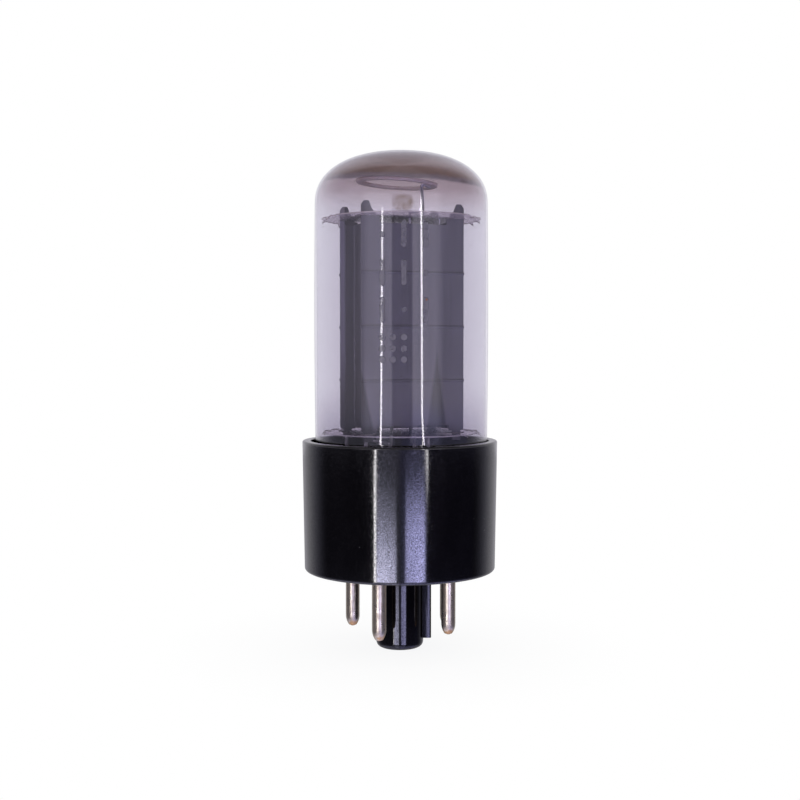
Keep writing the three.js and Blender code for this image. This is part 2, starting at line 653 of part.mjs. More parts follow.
// One anode with the filament it surrounds. The second is the first turned half round.
function halfCage(number) {
  const group = new THREE.Group();
  group.add(anodeFace(`anode_${number}_face`));
  group.add(anodeChannel(`anode_${number}_channel`));
  group.add(filament(`filament_${number}`));
  group.add(filamentHook(`filament_hook_${number}`));
  group.add(filamentSpring(`filament_spring_${number}`));
  return group;
}

// The wire under the lower mica that joins the two filaments in series.
function filamentLink() {
  const x = -FILAMENT_SPREAD - LINK_RADIUS - WELD_GAP;
  const end = FILAMENT_SETBACK + FILAMENT_RIBBON / 2;
  const height = FILAMENT_FOOT + 0.5;
  const points = [new THREE.Vector3(x, -end, height), new THREE.Vector3(x, end, height)];
  return namedMesh('filament_link', wire(points, LINK_RADIUS, 1, 8), materials.nickel);
}

// Each lead is an outer and an inner wire that meet inside the press.
const LEAD_ROUTES = [
  { pin: 8, hole: PRESS_OUTER_HOLE, joins: 'filament', face: -1 },
  { pin: 2, hole: PRESS_INNER_HOLE, joins: 'filament', face: 1 },
  { pin: 4, hole: -PRESS_INNER_HOLE, joins: 'anode', face: 1 },
  { pin: 6, hole: -PRESS_OUTER_HOLE, joins: 'anode', face: -1 },
];

function outerLead({ pin, hole }) {
  const place = pinPlace(pin);
  const points = [
    new THREE.Vector3(place.x, place.y, LEAD_IN_PIN),
    new THREE.Vector3(place.x, place.y, PIN_TOP / 2),
    new THREE.Vector3(place.x * 0.97, place.y * 0.97, PIN_TOP + 0.4),
    new THREE.Vector3(place.x * 0.66, place.y * 0.66, BULB_SEAL_HEIGHT),
    fromCage(hole, 0, FLARE_TOP - 1),
    fromCage(hole, 0, PRESS_BOTTOM + 0.5),
    fromCage(hole, 0, LEAD_SPLIT - LEAD_SPLIT_GAP / 2),
  ];
  return namedMesh(`outer_lead_${pin}`, wire(points, LEAD_RADIUS, 22), materials.copper);
}

// On the cage's own axes. A filament's lead ends beside its leg, an anode's beside its tab.
function innerLead({ pin, hole, joins, face }) {
  const beside = LEAD_RADIUS + WELD_GAP;
  const legX = FILAMENT_SPREAD + beside;
  const tabX = 1 - ANODE_HALF_WIDTH;
  const end = joins === 'filament'
    ? new THREE.Vector2(legX, face * FILAMENT_SETBACK)
    : new THREE.Vector2(tabX, face * (ANODE_FACE - ANODE_SHEET - beside));
  const points = [
    new THREE.Vector3(hole, 0, LEAD_SPLIT + LEAD_SPLIT_GAP / 2),
    new THREE.Vector3(hole, 0, PRESS_TOP),
    new THREE.Vector3(hole, 0, PRESS_TOP + 0.6),
    new THREE.Vector3(end.x, end.y, FOOT_TAB_END - 1.4),
    new THREE.Vector3(end.x, end.y, FOOT_TAB_END),
    new THREE.Vector3(end.x, end.y, LEAD_TOP),
  ];
  return namedMesh(`inner_lead_${pin}`, wire(points, LEAD_RADIUS, 16), materials.nickel);
}

// A ring of folded channel, open upwards, leaning a little to the +X side.
function getterRing() {
  const outer = GETTER_RADIUS;
  const inner = GETTER_RADIUS - GETTER_CHANNEL_WIDTH;
  const height = GETTER_CHANNEL_HEIGHT / 2;
  const outline = new THREE.Path();
  outline.moveTo(inner, -height);
  outline.lineTo(outer, -height);
  outline.lineTo(outer, height);
  outline.lineTo(outer - GETTER_SHEET, height);
  outline.lineTo(outer - GETTER_SHEET, GETTER_SHEET - height);
  outline.lineTo(inner + GETTER_SHEET, GETTER_SHEET - height);
  outline.lineTo(inner + GETTER_SHEET, height);
  outline.lineTo(inner, height);
  outline.closePath();
  const mesh = namedMesh('getter_ring', turned(outline, 40), materials.nickel);
  mesh.position.copy(GETTER_CENTRE);
  mesh.rotation.y = GETTER_TILT;
  return mesh;
}

// From under the ring's front right side down through the mica, between the anodes.
function getterWire() {
  const ringMiddle = GETTER_RADIUS - GETTER_CHANNEL_WIDTH / 2;
  const turn = THREE.MathUtils.degToRad(-40);
  const top = new THREE.Vector3(
    ringMiddle * Math.cos(turn), ringMiddle * Math.sin(turn),
    -GETTER_CHANNEL_HEIGHT / 2 - GETTER_WIRE - 0.08,
  );
  const along = new THREE.Vector3(-Math.sin(turn), Math.cos(turn), 0);
  const tilt = new THREE.Vector3(0, 1, 0);
  const tip = top.clone().addScaledVector(along, 1.2).applyAxisAngle(tilt, GETTER_TILT);
  const bend = top.clone().addScaledVector(along, -0.8).applyAxisAngle(tilt, GETTER_TILT);
  const foot = fromCage(GETTER_FOOT, 0, 0);
  const points = [
    tip.add(GETTER_CENTRE),
    bend.add(GETTER_CENTRE),
    new THREE.Vector3(foot.x - 0.1, foot.y - 2.6, 61.9),
    new THREE.Vector3(foot.x, foot.y, MICA_TOP_UNDERSIDE + MICA_THICKNESS + 0.6),
    new THREE.Vector3(foot.x, foot.y, MICA_TOP_UNDERSIDE - 1.1),
  ];
  return namedMesh('getter_wire', wire(points, GETTER_WIRE, 18, 8), materials.nickel);
}

function base() {
  const group = new THREE.Group();
  group.add(baseShell(), baseCement());
  for (const number of PIN_NUMBERS) {
    group.add(contactPin(number), pinSolder(number));
  }
  return group;
}

// The bulb's contents that stand square to the cage.
function cage() {
  const group = new THREE.Group();
  group.position.x = BULB_OFFSET;
  group.rotation.z = CAGE_TURN;
  const rear = halfCage(2);
  rear.rotation.z = Math.PI;
  group.add(halfCage(1), rear, topMica(), bottomMica());
  group.add(stemPress(), filamentLink());
  for (const route of LEAD_ROUTES) {
    group.add(innerLead(route));
  }
  return group;
}

function envelope() {
  const group = new THREE.Group();
  group.position.x = BULB_OFFSET;
  group.add(glassBulb(), stemFlare(), exhaustTube());
  return group;
}

const valve = new THREE.Group();
valve.position.z = LUG_LENGTH;
valve.add(base(), envelope(), cage());
valve.add(getterRing(), getterWire());
for (const route of LEAD_ROUTES) {
  valve.add(outerLead(route));
}

const part = new THREE.Group();
part.add(valve);

export default part;
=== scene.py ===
import math
import random

import bmesh
import bpy
from mathutils import Matrix, Vector


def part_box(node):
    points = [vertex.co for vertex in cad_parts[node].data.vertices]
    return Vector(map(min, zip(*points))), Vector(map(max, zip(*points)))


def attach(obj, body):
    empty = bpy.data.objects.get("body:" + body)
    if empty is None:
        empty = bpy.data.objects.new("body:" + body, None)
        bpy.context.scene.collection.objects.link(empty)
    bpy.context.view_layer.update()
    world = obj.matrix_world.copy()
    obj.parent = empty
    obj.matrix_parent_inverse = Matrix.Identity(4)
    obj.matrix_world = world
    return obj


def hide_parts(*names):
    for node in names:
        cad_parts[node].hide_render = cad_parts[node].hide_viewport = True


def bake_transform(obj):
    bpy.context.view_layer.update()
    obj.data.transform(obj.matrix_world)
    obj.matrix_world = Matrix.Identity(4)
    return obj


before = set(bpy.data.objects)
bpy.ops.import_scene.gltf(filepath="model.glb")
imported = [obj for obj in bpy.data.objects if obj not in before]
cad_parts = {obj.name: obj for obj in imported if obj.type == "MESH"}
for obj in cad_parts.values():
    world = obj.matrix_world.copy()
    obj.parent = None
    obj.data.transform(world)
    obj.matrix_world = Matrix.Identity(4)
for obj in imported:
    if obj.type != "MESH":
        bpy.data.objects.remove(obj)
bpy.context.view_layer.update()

# Lengths are millimetres. Heights are counted from the base's underside, and every piece is
# lifted onto the row frame and turned into metres when its mesh is finished.
MM = 0.001
PIN_LENGTH = 10.25
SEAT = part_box("pin_1")[0].z / MM + PIN_LENGTH
BULB_AXIS = (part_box("glass_bulb")[0].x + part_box("glass_bulb")[1].x) / 2 / MM
CAGE_TURN = math.radians(21.5)
MAIN_BODY = "valve"
SHARP_ANGLE = 35
ON_AXIS = 1e-6

# Faces round each turned piece
BASE_SEGMENTS = 192
BULB_SEGMENTS = 160
RING_SEGMENTS = 128
PIN_SEGMENTS = 40
HOLE_SEGMENTS = 32
SOLDER_SEGMENTS = 24
WIRE_SIDES = 14
WIRE_STEPS = 8

# Base
FOOT_RADIUS = 15.95
RIM_RADIUS = 16.3
BASE_HEIGHT = 21.7
BASE_FLOOR = 3.0
RIM_INNER_RADIUS = 14.9
RIM_LEDGE = 20.05
SKIRT_INNER_RADIUS = 15.1
LUG_RADIUS = 3.96
LUG_LENGTH = 13.18
LUG_BORE = 2.95
LUG_END_WALL = 1.6
KEY_REACH = 5.27
KEY_WIDTH = 2.0
KEY_LENGTH = 11.6
PIN_NUMBERS = (1, 2, 4, 6, 8)
PIN_RADIUS = 1.18
PIN_BORE = 0.75
PIN_TOP = 4.0
PIN_NOSE = 1.7
PIN_MOUTH = 0.46
PIN_CLEARANCE = 0.07
SOLDER_RADIUS = 0.42
SOLDER_BULGE = 0.2
SOLDER_DEPTH = 1.9

# Bulb
BULB_RADIUS = 14.36
BULB_BELLY = 0.13
BULB_WALL = 0.25
NECK_HEIGHT = 11.0
SEAL_RADIUS = 10.8
SEAL_HEIGHT = 6.0
DOME_HEIGHT = 60.85
DOME_RISE = 8.7
DOME_POWER = 2.3
FILM_LOW = 58.0
FILM_HIGH = 70.0
FILM_LEAN = math.radians(2.3)

# Cage
CAGE_QUARTERS = ((-1, -1), (-1, 1), (1, -1), (1, 1))
ANODE_HALF_WIDTH = 8.98
ANODE_FACE = 5.37
ANODE_SHEET = 0.25
ANODE_BOTTOM = 23.45
ANODE_TOP = 58.25
EDGE_NOTCH = 0.95
RIB_COUNT = 3
RIB_LOWEST = 31.75
RIB_PITCH = 8.8
RIB_HEIGHT = 0.5
RIB_DEPTH = 0.2
RIB_OVERHANG = 0.14
TOP_TAB_WIDTH = 2.5
TOP_TAB_TIP = 0.85
TOP_TAB_CHAMFER = 0.45
TOP_TAB_TOP = 60.75
FOOT_TAB_WIDTH = 2.0
FOOT_TAB_END = 21.85
FOOT_CORNER = 0.5
TAB_SHOULDER = 0.6
CHANNEL_HALF_WIDTH = 6.5
CHANNEL_FLANGE = 1.7
CHANNEL_FLOOR = 0.95
CHANNEL_BOTTOM = 23.75
CHANNEL_TOP = 57.75
WELD_GAP = 0.1
MICA_THICKNESS = 0.22
MICA_RADIUS = 13.3
MICA_TOOTH = 0.45
MICA_TEETH = 44
MICA_TOP = 58.35
MICA_BOTTOM = 22.95
MICA_RIM = 1.0
SLOT_CLEARANCE = 0.15

# Filaments, hooks and springs
FILAMENT_SETBACK = 3.05
FILAMENT_SPREAD = 3.2
FILAMENT_FOOT = 20.85
FILAMENT_APEX = 55.85
FILAMENT_RIBBON = 1.0
FILAMENT_THICKNESS = 0.15
FILAMENT_BEND = 0.55
FILAMENT_BEND_RISE = 1.1
HOOK_WIRE = 0.2
HOOK_REACH = 0.85
HOOK_ARM = 1.4
HOOK_HOLE = 0.45
SPRING_WIRE = 0.15
SPRING_LENGTH = 5.2

# Getter
GETTER_RADIUS = 6.8
GETTER_WIDTH = 1.3
GETTER_HEIGHT = 0.55
GETTER_SHEET = 0.2
GETTER_CENTRE = Vector((-0.53, 0, 64.45))
GETTER_TILT = math.radians(3.6)
GETTER_WIRE = 0.28
GETTER_FOOT = 3.9

# Faded marks on the front of the glass
PRINT_HEIGHTS = (54.8, 48.85, 43.05)
PRINT_MIDDLE = 0.4
PRINT_PITCH = 3.4
BAR_HALF_LENGTH = 1.6
BAR_RADIUS = 0.42
DOT_HEIGHTS = (38.8, 37.0, 35.3)
DOT_MIDDLE = -1.3
DOT_PITCH = 1.72
DOT_RADIUS = 0.52
SPOT_ALONG = 3.95
SPOT_HEIGHT = 44.65
SPOT_RADIUS = 0.16

# Camera
CAMERA_DISTANCE = 209.9
CAMERA_HEIGHT = 37.33
CAMERA_SIDE = 0.036
CAMERA_PITCH = math.radians(2.44)
CAMERA_LENS = 56.42

# Studio: directions and widths in degrees, levels as shares of white
STUDIO_MIDDLE = 1.2
STRIP_LEFT = -25.7
STRIP_RIGHT = 26.9
STRIP_WIDTH = 2.1
STRIP_LEVEL = 11.0
GLOW_LEVEL = 9.5
GAP_LEVEL = 0.38
TABLE_LEVEL = 1.2


# ---- mesh helpers

def cage_point(x, y, z):
    """A point given on the cage's own axes, on the valve's axes."""
    turned = Matrix.Rotation(CAGE_TURN, 3, "Z") @ Vector((x, y, z))
    turned.x += BULB_AXIS
    return turned


def on_half(number, x, y, z):
    """A point of the cage's front half, on half 1 (the front) or half 2 (turned to the rear)."""
    side = 1 if number == 1 else -1
    return cage_point(side * x, side * y, z)


def rounded_outline(corners, steps=5, closed=True):
    """Points round (x, y, radius) corners, with an arc at each corner that has a radius."""
    points = []
    last = len(corners) - 1
    for i, (x, y, radius) in enumerate(corners):
        here = Vector((x, y))
        if radius == 0 or (not closed and i in (0, last)):
            points.append(here)
            continue
        before = (Vector(corners[i - 1][:2]) - here).normalized()
        after = (Vector(corners[0 if i == last else i + 1][:2]) - here).normalized()
        half = before.angle(after) / 2
        start = before * (radius / math.tan(half))
        end = after * (radius / math.tan(half))
        centre = (before + after).normalized() * (radius / math.sin(half))
        first = math.atan2(start.y - centre.y, start.x - centre.x)
        sweep = math.atan2(end.y - centre.y, end.x - centre.x) - first
        sweep = (sweep + math.pi) % (2 * math.pi) - math.pi
        for step in range(steps + 1):
            turn = first + sweep * step / steps
            points.append(here + centre + radius * Vector((math.cos(turn), math.sin(turn))))
    return points


def supported(outline, gap=0.08):
    """Adds a point close to each end of every long run, so shading stays true along it."""
    points = []
    for here, ahead in zip(outline, outline[1:]):
        here, ahead = Vector(here), Vector(ahead)
        points.append(here)
        run = (ahead - here).length
        if run > 8 * gap:
            points.append(here.lerp(ahead, gap / run))
            points.append(ahead.lerp(here, gap / run))
    points.append(Vector(outline[-1]))
    return points


def circle(radius, count):
    turns = [2 * math.pi * i / count for i in range(count)]
    return [Vector((radius * math.cos(turn), radius * math.sin(turn))) for turn in turns]


def bridge(bm, lower, upper, material_index=0):
    """Faces between two rings of vertices, either of which may be a single point."""
    count = max(len(lower), len(upper))
    for i in range(count):
        j = (i + 1) % count
        corners = [lower[i % len(lower)], lower[j % len(lower)],
                   upper[j % len(upper)], upper[i % len(upper)]]
        unique = list(dict.fromkeys(corners))
        if len(unique) > 2:
            bm.faces.new(unique).material_index = material_index


def add_lathe(bm, outline, segments, centre=(0, 0), closed=True, slots=None):
    """A body of revolution. The outline holds (radius, height) points."""
    turns = [2 * math.pi * i / segments for i in range(segments)]
    rings = []
    for radius, height in outline:
        rings.append([
            bm.verts.new((centre[0] + radius * math.cos(turn),
                          centre[1] + radius * math.sin(turn), height))
            for turn in (turns if radius > ON_AXIS else turns[:1])
        ])
    following = rings[1:] + rings[:1] if closed else rings[1:]
    for i, (lower, upper) in enumerate(zip(rings, following)):
        if len(lower) > 1 or len(upper) > 1:
            bridge(bm, lower, upper, slots[i] if slots else 0)


def add_prism(bm, outline, depth, place):
    """A flat sheet. place(u, v, w) turns outline and thickness into a point."""
    near = [bm.verts.new(place(p[0], p[1], 0)) for p in outline]
    far = [bm.verts.new(place(p[0], p[1], depth)) for p in outline]
    bm.faces.new(near)
    bm.faces.new(list(reversed(far)))
    bridge(bm, near, far)


def add_skin(bm, rings):
    """Joins rings of vertices one after another, and closes both ends."""
    for lower, upper in zip(rings, rings[1:]):
        bridge(bm, lower, upper)
    bm.faces.new(rings[0])
    bm.faces.new(list(reversed(rings[-1])))


def smooth_path(points):
    """A Catmull-Rom curve through the points."""
    points = [Vector(p) for p in points]
    points = [2 * points[0] - points[1]] + points + [2 * points[-1] - points[-2]]
    path = []
    for i in range(1, len(points) - 2):
        p0, p1, p2, p3 = points[i - 1:i + 3]
        for step in range(WIRE_STEPS):
            t = step / WIRE_STEPS
            path.append(
                0.5 * (2 * p1 + (p2 - p0) * t + (2 * p0 - 5 * p1 + 4 * p2 - p3) * t ** 2
                       + (3 * p1 - p0 - 3 * p2 + p3) * t ** 3)
            )
    path.append(points[-2])
    return path


def add_wire(bm, points, radius):
    """A round wire with rounded ends along a smooth curve."""
    path = smooth_path(points)
    across = (path[1] - path[0]).normalized().orthogonal().normalized()
    rings = []
    for i, point in enumerate(path):
        ahead = path[min(i + 1, len(path) - 1)] - path[max(i - 1, 0)]
        ahead.normalize()
        across = (across - ahead * across.dot(ahead)).normalized()
        up = ahead.cross(across)
        sizes = [(0, 1.0)]
        if i == 0:
            sizes = [(-0.5, 0.45), (-0.25, 0.86), (0, 1.0)]
        if i == len(path) - 1:
            sizes = [(0, 1.0), (0.25, 0.86), (0.5, 0.45)]
        for shift, size in sizes:
            middle = point + ahead * shift * radius
            rings.append([
                bm.verts.new(middle + size * radius * (across * c.x + up * c.y))
                for c in circle(1, WIRE_SIDES)
            ])
    add_skin(bm, rings)


def to_object(name, bm, sharp_angle=SHARP_ANGLE):
    """Turns a millimetre mesh into an object in the row frame."""
    bmesh.ops.recalc_face_normals(bm, faces=bm.faces)
    bm.transform(Matrix.Scale(MM, 4) @ Matrix.Translation((0, 0, SEAT)))
    mesh = bpy.data.meshes.new(name)
    bm.to_mesh(mesh)
    bm.free()
    mesh.shade_smooth()
    mesh.set_sharp_from_angle(angle=math.radians(sharp_angle))
    made = bpy.data.objects.new(name, mesh)
    bpy.context.scene.collection.objects.link(made)
    return made


def bake_modifiers(made):
    """Replaces an object's mesh with what its modifiers make of it."""
    graph = bpy.context.evaluated_depsgraph_get()
    mesh = bpy.data.meshes.new_from_object(made.evaluated_get(graph))
    made.modifiers.clear()
    made.data = mesh
    mesh.shade_smooth()
    mesh.set_sharp_from_angle(angle=math.radians(SHARP_ANGLE))


def cut(made, cutter_bm, operation="DIFFERENCE"):
    """Cuts a mesh away from an object, or joins it on."""
    tool = to_object("cutter", cutter_bm)
    change = made.modifiers.new("cut", "BOOLEAN")
    change.operation = operation
    change.solver = "EXACT"
    change.object = tool
    bake_modifiers(made)
    bpy.data.objects.remove(tool)


def soften_edges(made, width):
    """Rounds the sharp edges of a sheet."""
    bevel = made.modifiers.new("edge", "BEVEL")
    bevel.width = width * MM
    bevel.segments = 2
    bevel.limit_method = "ANGLE"
    bevel.angle_limit = math.radians(40)


def dress(made, node, slot, body=MAIN_BODY):
    """Gives a finished piece its material and its body, and hides the CAD node it stands for."""
    if not made.data.materials:
        made.data.materials.append(MATERIALS[slot])
    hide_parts(node)
    if body:
        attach(made, body)


# ---- shader helpers

class Shader:
    """A node tree being built, with short calls for the nodes it uses most."""

    def __init__(self, tree, made=None):
        self.tree = tree
        self.made = made
        self.point = None
        tree.nodes.clear()

    @classmethod
    def material(cls, name):
        made = bpy.data.materials.new(name)
        made.use_nodes = True
        return cls(made.node_tree, made)

    def add(self, kind, inputs=None, output=0, **settings):
        node = self.tree.nodes.new("ShaderNode" + kind)
        for key, value in settings.items():
            setattr(node, key, value)
        for key, value in (inputs or {}).items():
            self.plug(value, node.inputs[key])
        return node.outputs[output]

    def plug(self, value, socket):
        if isinstance(value, bpy.types.NodeSocket):
            self.tree.links.new(value, socket)
        elif isinstance(value, tuple) and len(value) == 3 and socket.type == "RGBA":
            socket.default_value = (*value, 1)
        else:
            socket.default_value = value

    def math(self, operation, a, b=0.0):
        return self.add("Math", {0: a, 1: b}, operation=operation)

    def plus(self, a, b):
        return self.math("ADD", a, b)

    def minus(self, a, b):
        return self.math("SUBTRACT", a, b)

    def times(self, a, b):
        return self.math("MULTIPLY", a, b)

    def larger(self, a, b):
        return self.math("MAXIMUM", a, b)

    def size(self, a):
        return self.math("ABSOLUTE", a)

    def smooth(self, value, start, end, low=0.0, high=1.0, shape="SMOOTHSTEP"):
        """Goes from low to high as value goes from start to end."""
        return self.add("MapRange", {
            "Value": value, "From Min": start, "From Max": end, "To Min": low, "To Max": high,
        }, interpolation_type=shape)

    def fade(self, level, value, start, end, low=0.0, high=1.0, shape="SMOOTHSTEP"):
        """The level, times a share that goes from low to high."""
        return self.times(level, self.smooth(value, start, end, low, high, shape))

    def mix(self, factor, a, b, blend="MIX"):
        node = self.tree.nodes.new("ShaderNodeMix")
        node.data_type = "RGBA"
        node.blend_type = blend
        self.plug(factor, node.inputs["Factor"])
        for name, colour in (("A", a), ("B", b)):
            self.plug(colour, [s for s in node.inputs if s.name == name and s.type == "RGBA"][0])
        return [s for s in node.outputs if s.type == "RGBA"][0]

    def place(self):
        """The point being shaded, in millimetres, with its height above the base's underside."""
        if self.point is None:
            coords = self.add("TexCoord", output="Object")
            scaled = self.add("VectorMath", {0: coords, "Scale": 1 / MM}, operation="SCALE")
            self.point = self.add("VectorMath", {0: scaled, 1: (0, 0, -SEAT)}, operation="ADD")
        return self.point

    def split(self, vector):
        """A vector's x, y and z."""
        node = self.tree.nodes.new("ShaderNodeSeparateXYZ")
        self.tree.links.new(vector, node.inputs[0])
        return node.outputs[0], node.outputs[1], node.outputs[2]

    def parts(self):
        """x, y and height of the point being shaded."""
        return self.split(self.place())

    def cage_parts(self):
        """x, y and height on the cage's own axes."""
        shift = (-BULB_AXIS, 0, 0)
        shifted = self.add("VectorMath", {0: self.place(), 1: shift}, operation="ADD")
        turned = self.add("VectorRotate", {"Vector": shifted, "Angle": -CAGE_TURN},
                          rotation_type="Z_AXIS")
        return self.split(turned)

    def noise(self, scale, detail=2.0, rough=0.5, stretch=(1, 1, 1)):
        """A value from 0 to 1 that varies over about 1/scale millimetres."""
        where = self.add("VectorMath", {0: self.place(), 1: stretch}, operation="MULTIPLY")
        return self.add("TexNoise", {
            "Vector": where, "Scale": scale, "Detail": detail, "Roughness": rough,
        })

    def specks(self, scale, size, share):
        """Small round spots, in a share of the cells of a grid that is scale per millimetre."""
        near = self.add("TexVoronoi", {"Vector": self.place(), "Scale": scale}, output="Distance")
        cell = self.add("SeparateColor", {0: near.node.outputs["Color"]})
        chosen = self.math("LESS_THAN", cell, share)
        return self.times(chosen, self.smooth(near, size, size * 0.5))

    def upright_face(self):
        """1 on faces that stand upright, 0 on level ones."""
        _, _, upward = self.split(self.add("NewGeometry", output="True Normal"))
        return self.smooth(self.size(upward), 0.6, 0.3)

    def bump(self, height, depth, strength=1.0):
        return self.add("Bump", {"Strength": strength, "Distance": depth * MM, "Height": height})

    def principled(self, **inputs):
        names = {key.replace("_", " "): value for key, value in inputs.items()}
        return self.add("BsdfPrincipled", names)

    def done(self, surface):
        """Joins the surface to the output, and returns the material if there is one."""
        kind = "OutputMaterial" if self.made else "OutputWorld"
        node = self.tree.nodes.new("ShaderNode" + kind)
        self.tree.links.new(surface, node.inputs["Surface"])
        return self.made


# ---- materials

def phenolic_material():
    """Black moulded phenolic: a gloss broken by fine grains, with a little pale dust."""
    s = Shader.material("phenolic")
    grains = s.noise(5.0, 1)
    flow = s.noise(0.25, 3, 0.5, (1, 1, 0.4))
    specks = s.specks(1.1, 0.08, 0.08)
    colour = s.mix(flow, (0.0008, 0.0006, 0.0008), (0.0022, 0.0018, 0.0022))
    colour = s.mix(s.times(specks, 0.3), colour, (0.16, 0.14, 0.12))
    rough = s.smooth(flow, 0.3, 0.7, 0.06, 0.09)
    rough = s.plus(rough, s.times(specks, 0.3))
    rough = s.plus(rough, s.smooth(grains, 0.50, 0.66, 0.0, 0.07))
    _, _, height = s.parts()
    sparkle = s.smooth(s.noise(9.0, 2), 0.36, 0.64, 0.24, 0.82)
    sparkle = s.fade(sparkle, height, 0.0, -1.0, 1.0, 0.45)
    return s.done(s.principled(
        Base_Color=colour, Roughness=rough, IOR=1.55, Specular_IOR_Level=sparkle,
        Normal=s.bump(grains, 0.002),
    ))


def pin_material():
    """Nickel plating with a warm tarnish, drawing lines and a worn, stained nose."""
    s = Shader.material("pin_plating")
    _, _, height = s.parts()
    lines = s.noise(2.5, 2, 0.5, (1, 1, 0.12))
    blotch = s.noise(0.9, 4, 0.6)
    nose = s.smooth(height, -8.2, -PIN_LENGTH)
    tarnish = s.times(s.smooth(blotch, 0.42, 0.75), s.plus(0.45, nose))
    colour = s.mix(lines, (0.36, 0.315, 0.24), (0.50, 0.45, 0.35))
    colour = s.mix(tarnish, colour, (0.20, 0.145, 0.10))
    tinned = s.times(s.smooth(height, -9.1, -9.9), s.smooth(blotch, 0.35, 0.5))
    colour = s.mix(tinned, colour, (0.36, 0.22, 0.10))
    rough = s.plus(s.smooth(blotch, 0.3, 0.8, 0.26, 0.40), s.times(nose, 0.1))
    return s.done(s.principled(
        Base_Color=colour, Metallic=1.0, Roughness=rough,
        Normal=s.bump(s.plus(lines, blotch), 0.006),
    ))


def solder_material():
    """Tinned solder under brown flux."""
    s = Shader.material("solder")
    flux = s.noise(2.4, 4, 0.65)
    colour = s.mix(s.smooth(flux, 0.35, 0.65), (0.50, 0.36, 0.20), (0.16, 0.09, 0.045))
    return s.done(s.principled(
        Base_Color=colour, Metallic=0.8, Roughness=s.smooth(flux, 0.3, 0.7, 0.22, 0.5),
        Normal=s.bump(flux, 0.08, 0.7),
    ))


def cement_material():
    """Grainy brown basing cement."""
    s = Shader.material("cement")
    grain = s.noise(3.0, 5, 0.7)
    colour = s.mix(grain, (0.16, 0.11, 0.06), (0.36, 0.28, 0.18))
    return s.done(s.principled(
        Base_Color=colour, Roughness=0.92, Normal=s.bump(grain, 0.25, 0.8),
    ))


def anode_material():
    """Carbonised sheet: matt violet-grey with rolling lines and pale dust specks. Painted light
    makes it lighter towards the bottom and along the edges of the inner faces, a painted shadow
    darkens the rear sheet's foot, and two tapering dark wedges of painted reflection lie on the
    front.
    """
    s = Shader.material("anode_carbonised")
    across, depth, height = s.cage_parts()
    grain = s.noise(4.5, 4, 0.65)
    rolling = s.noise(0.9, 4, 0.6, (1, 1, 0.05))
    cloud = s.noise(0.16, 3, 0.5)
    front = s.math("LESS_THAN", depth, 0.0)
    # Painted reflection: two tapering dark wedges on the front sheet that widen towards the foot,
    # one near the middle and one along a side edge.
    reflection_foot = 23.8
    reflection_wedge_middle = 4.2
    fall = s.smooth(height, 37.8, reflection_foot, 0.0, 1.9, "LINEAR")
    spread = s.size(s.minus(across, reflection_wedge_middle))
    reflection_wedge = s.smooth(s.minus(spread, fall), 0.15, -0.55)
    fall = s.smooth(height, 34.0, reflection_foot, 0.0, 2.2, "LINEAR")
    edge = s.smooth(s.minus(s.plus(across, ANODE_HALF_WIDTH), fall), 0.2, -0.5)
    dark_patch = s.times(s.larger(reflection_wedge, edge), front)
    colour = s.mix(cloud, (0.123, 0.116, 0.127), (0.156, 0.148, 0.161))
    colour = s.mix(s.smooth(rolling, 0.35, 0.7, 0.0, 0.45), colour, (0.084, 0.080, 0.087))
    # Painted light: the sheet is lighter towards the bottom, making up for its darker reflections
    # there.
    colour = s.mix(s.smooth(height, 36.0, 24.0, 0.0, 0.5), colour, (0.29, 0.28, 0.30))
    # Painted light: a lighter band along the side edges of the inner faces.
    lit_inner_edge = s.smooth(s.size(across), 8.1, 8.3)
    inner = s.math("LESS_THAN", s.size(depth), ANODE_FACE - 0.2)
    colour = s.mix(s.times(lit_inner_edge, inner), colour, (0.36, 0.34, 0.37))
    # The painted reflection wedges, nearly black.
    colour = s.mix(s.times(dark_patch, 0.8), colour, (0.018, 0.013, 0.012))
    # Painted shadow: the rear sheet darkens towards its foot.
    rear_foot_shadow = s.times(s.smooth(height, 40.0, 24.0, 0.0, 0.6), s.minus(1.0, front))
    colour = s.mix(rear_foot_shadow, colour, (0.03, 0.027, 0.03))
    colour = s.mix(s.times(s.specks(0.8, 0.06, 0.25), 0.5), colour, (0.30, 0.27, 0.26))
    return s.done(s.principled(
        Base_Color=colour, Metallic=0.35, Roughness=s.smooth(grain, 0.3, 0.7, 0.38, 0.52),
        Normal=s.bump(s.plus(grain, s.times(rolling, 0.6)), 0.02, 0.5),
    ))


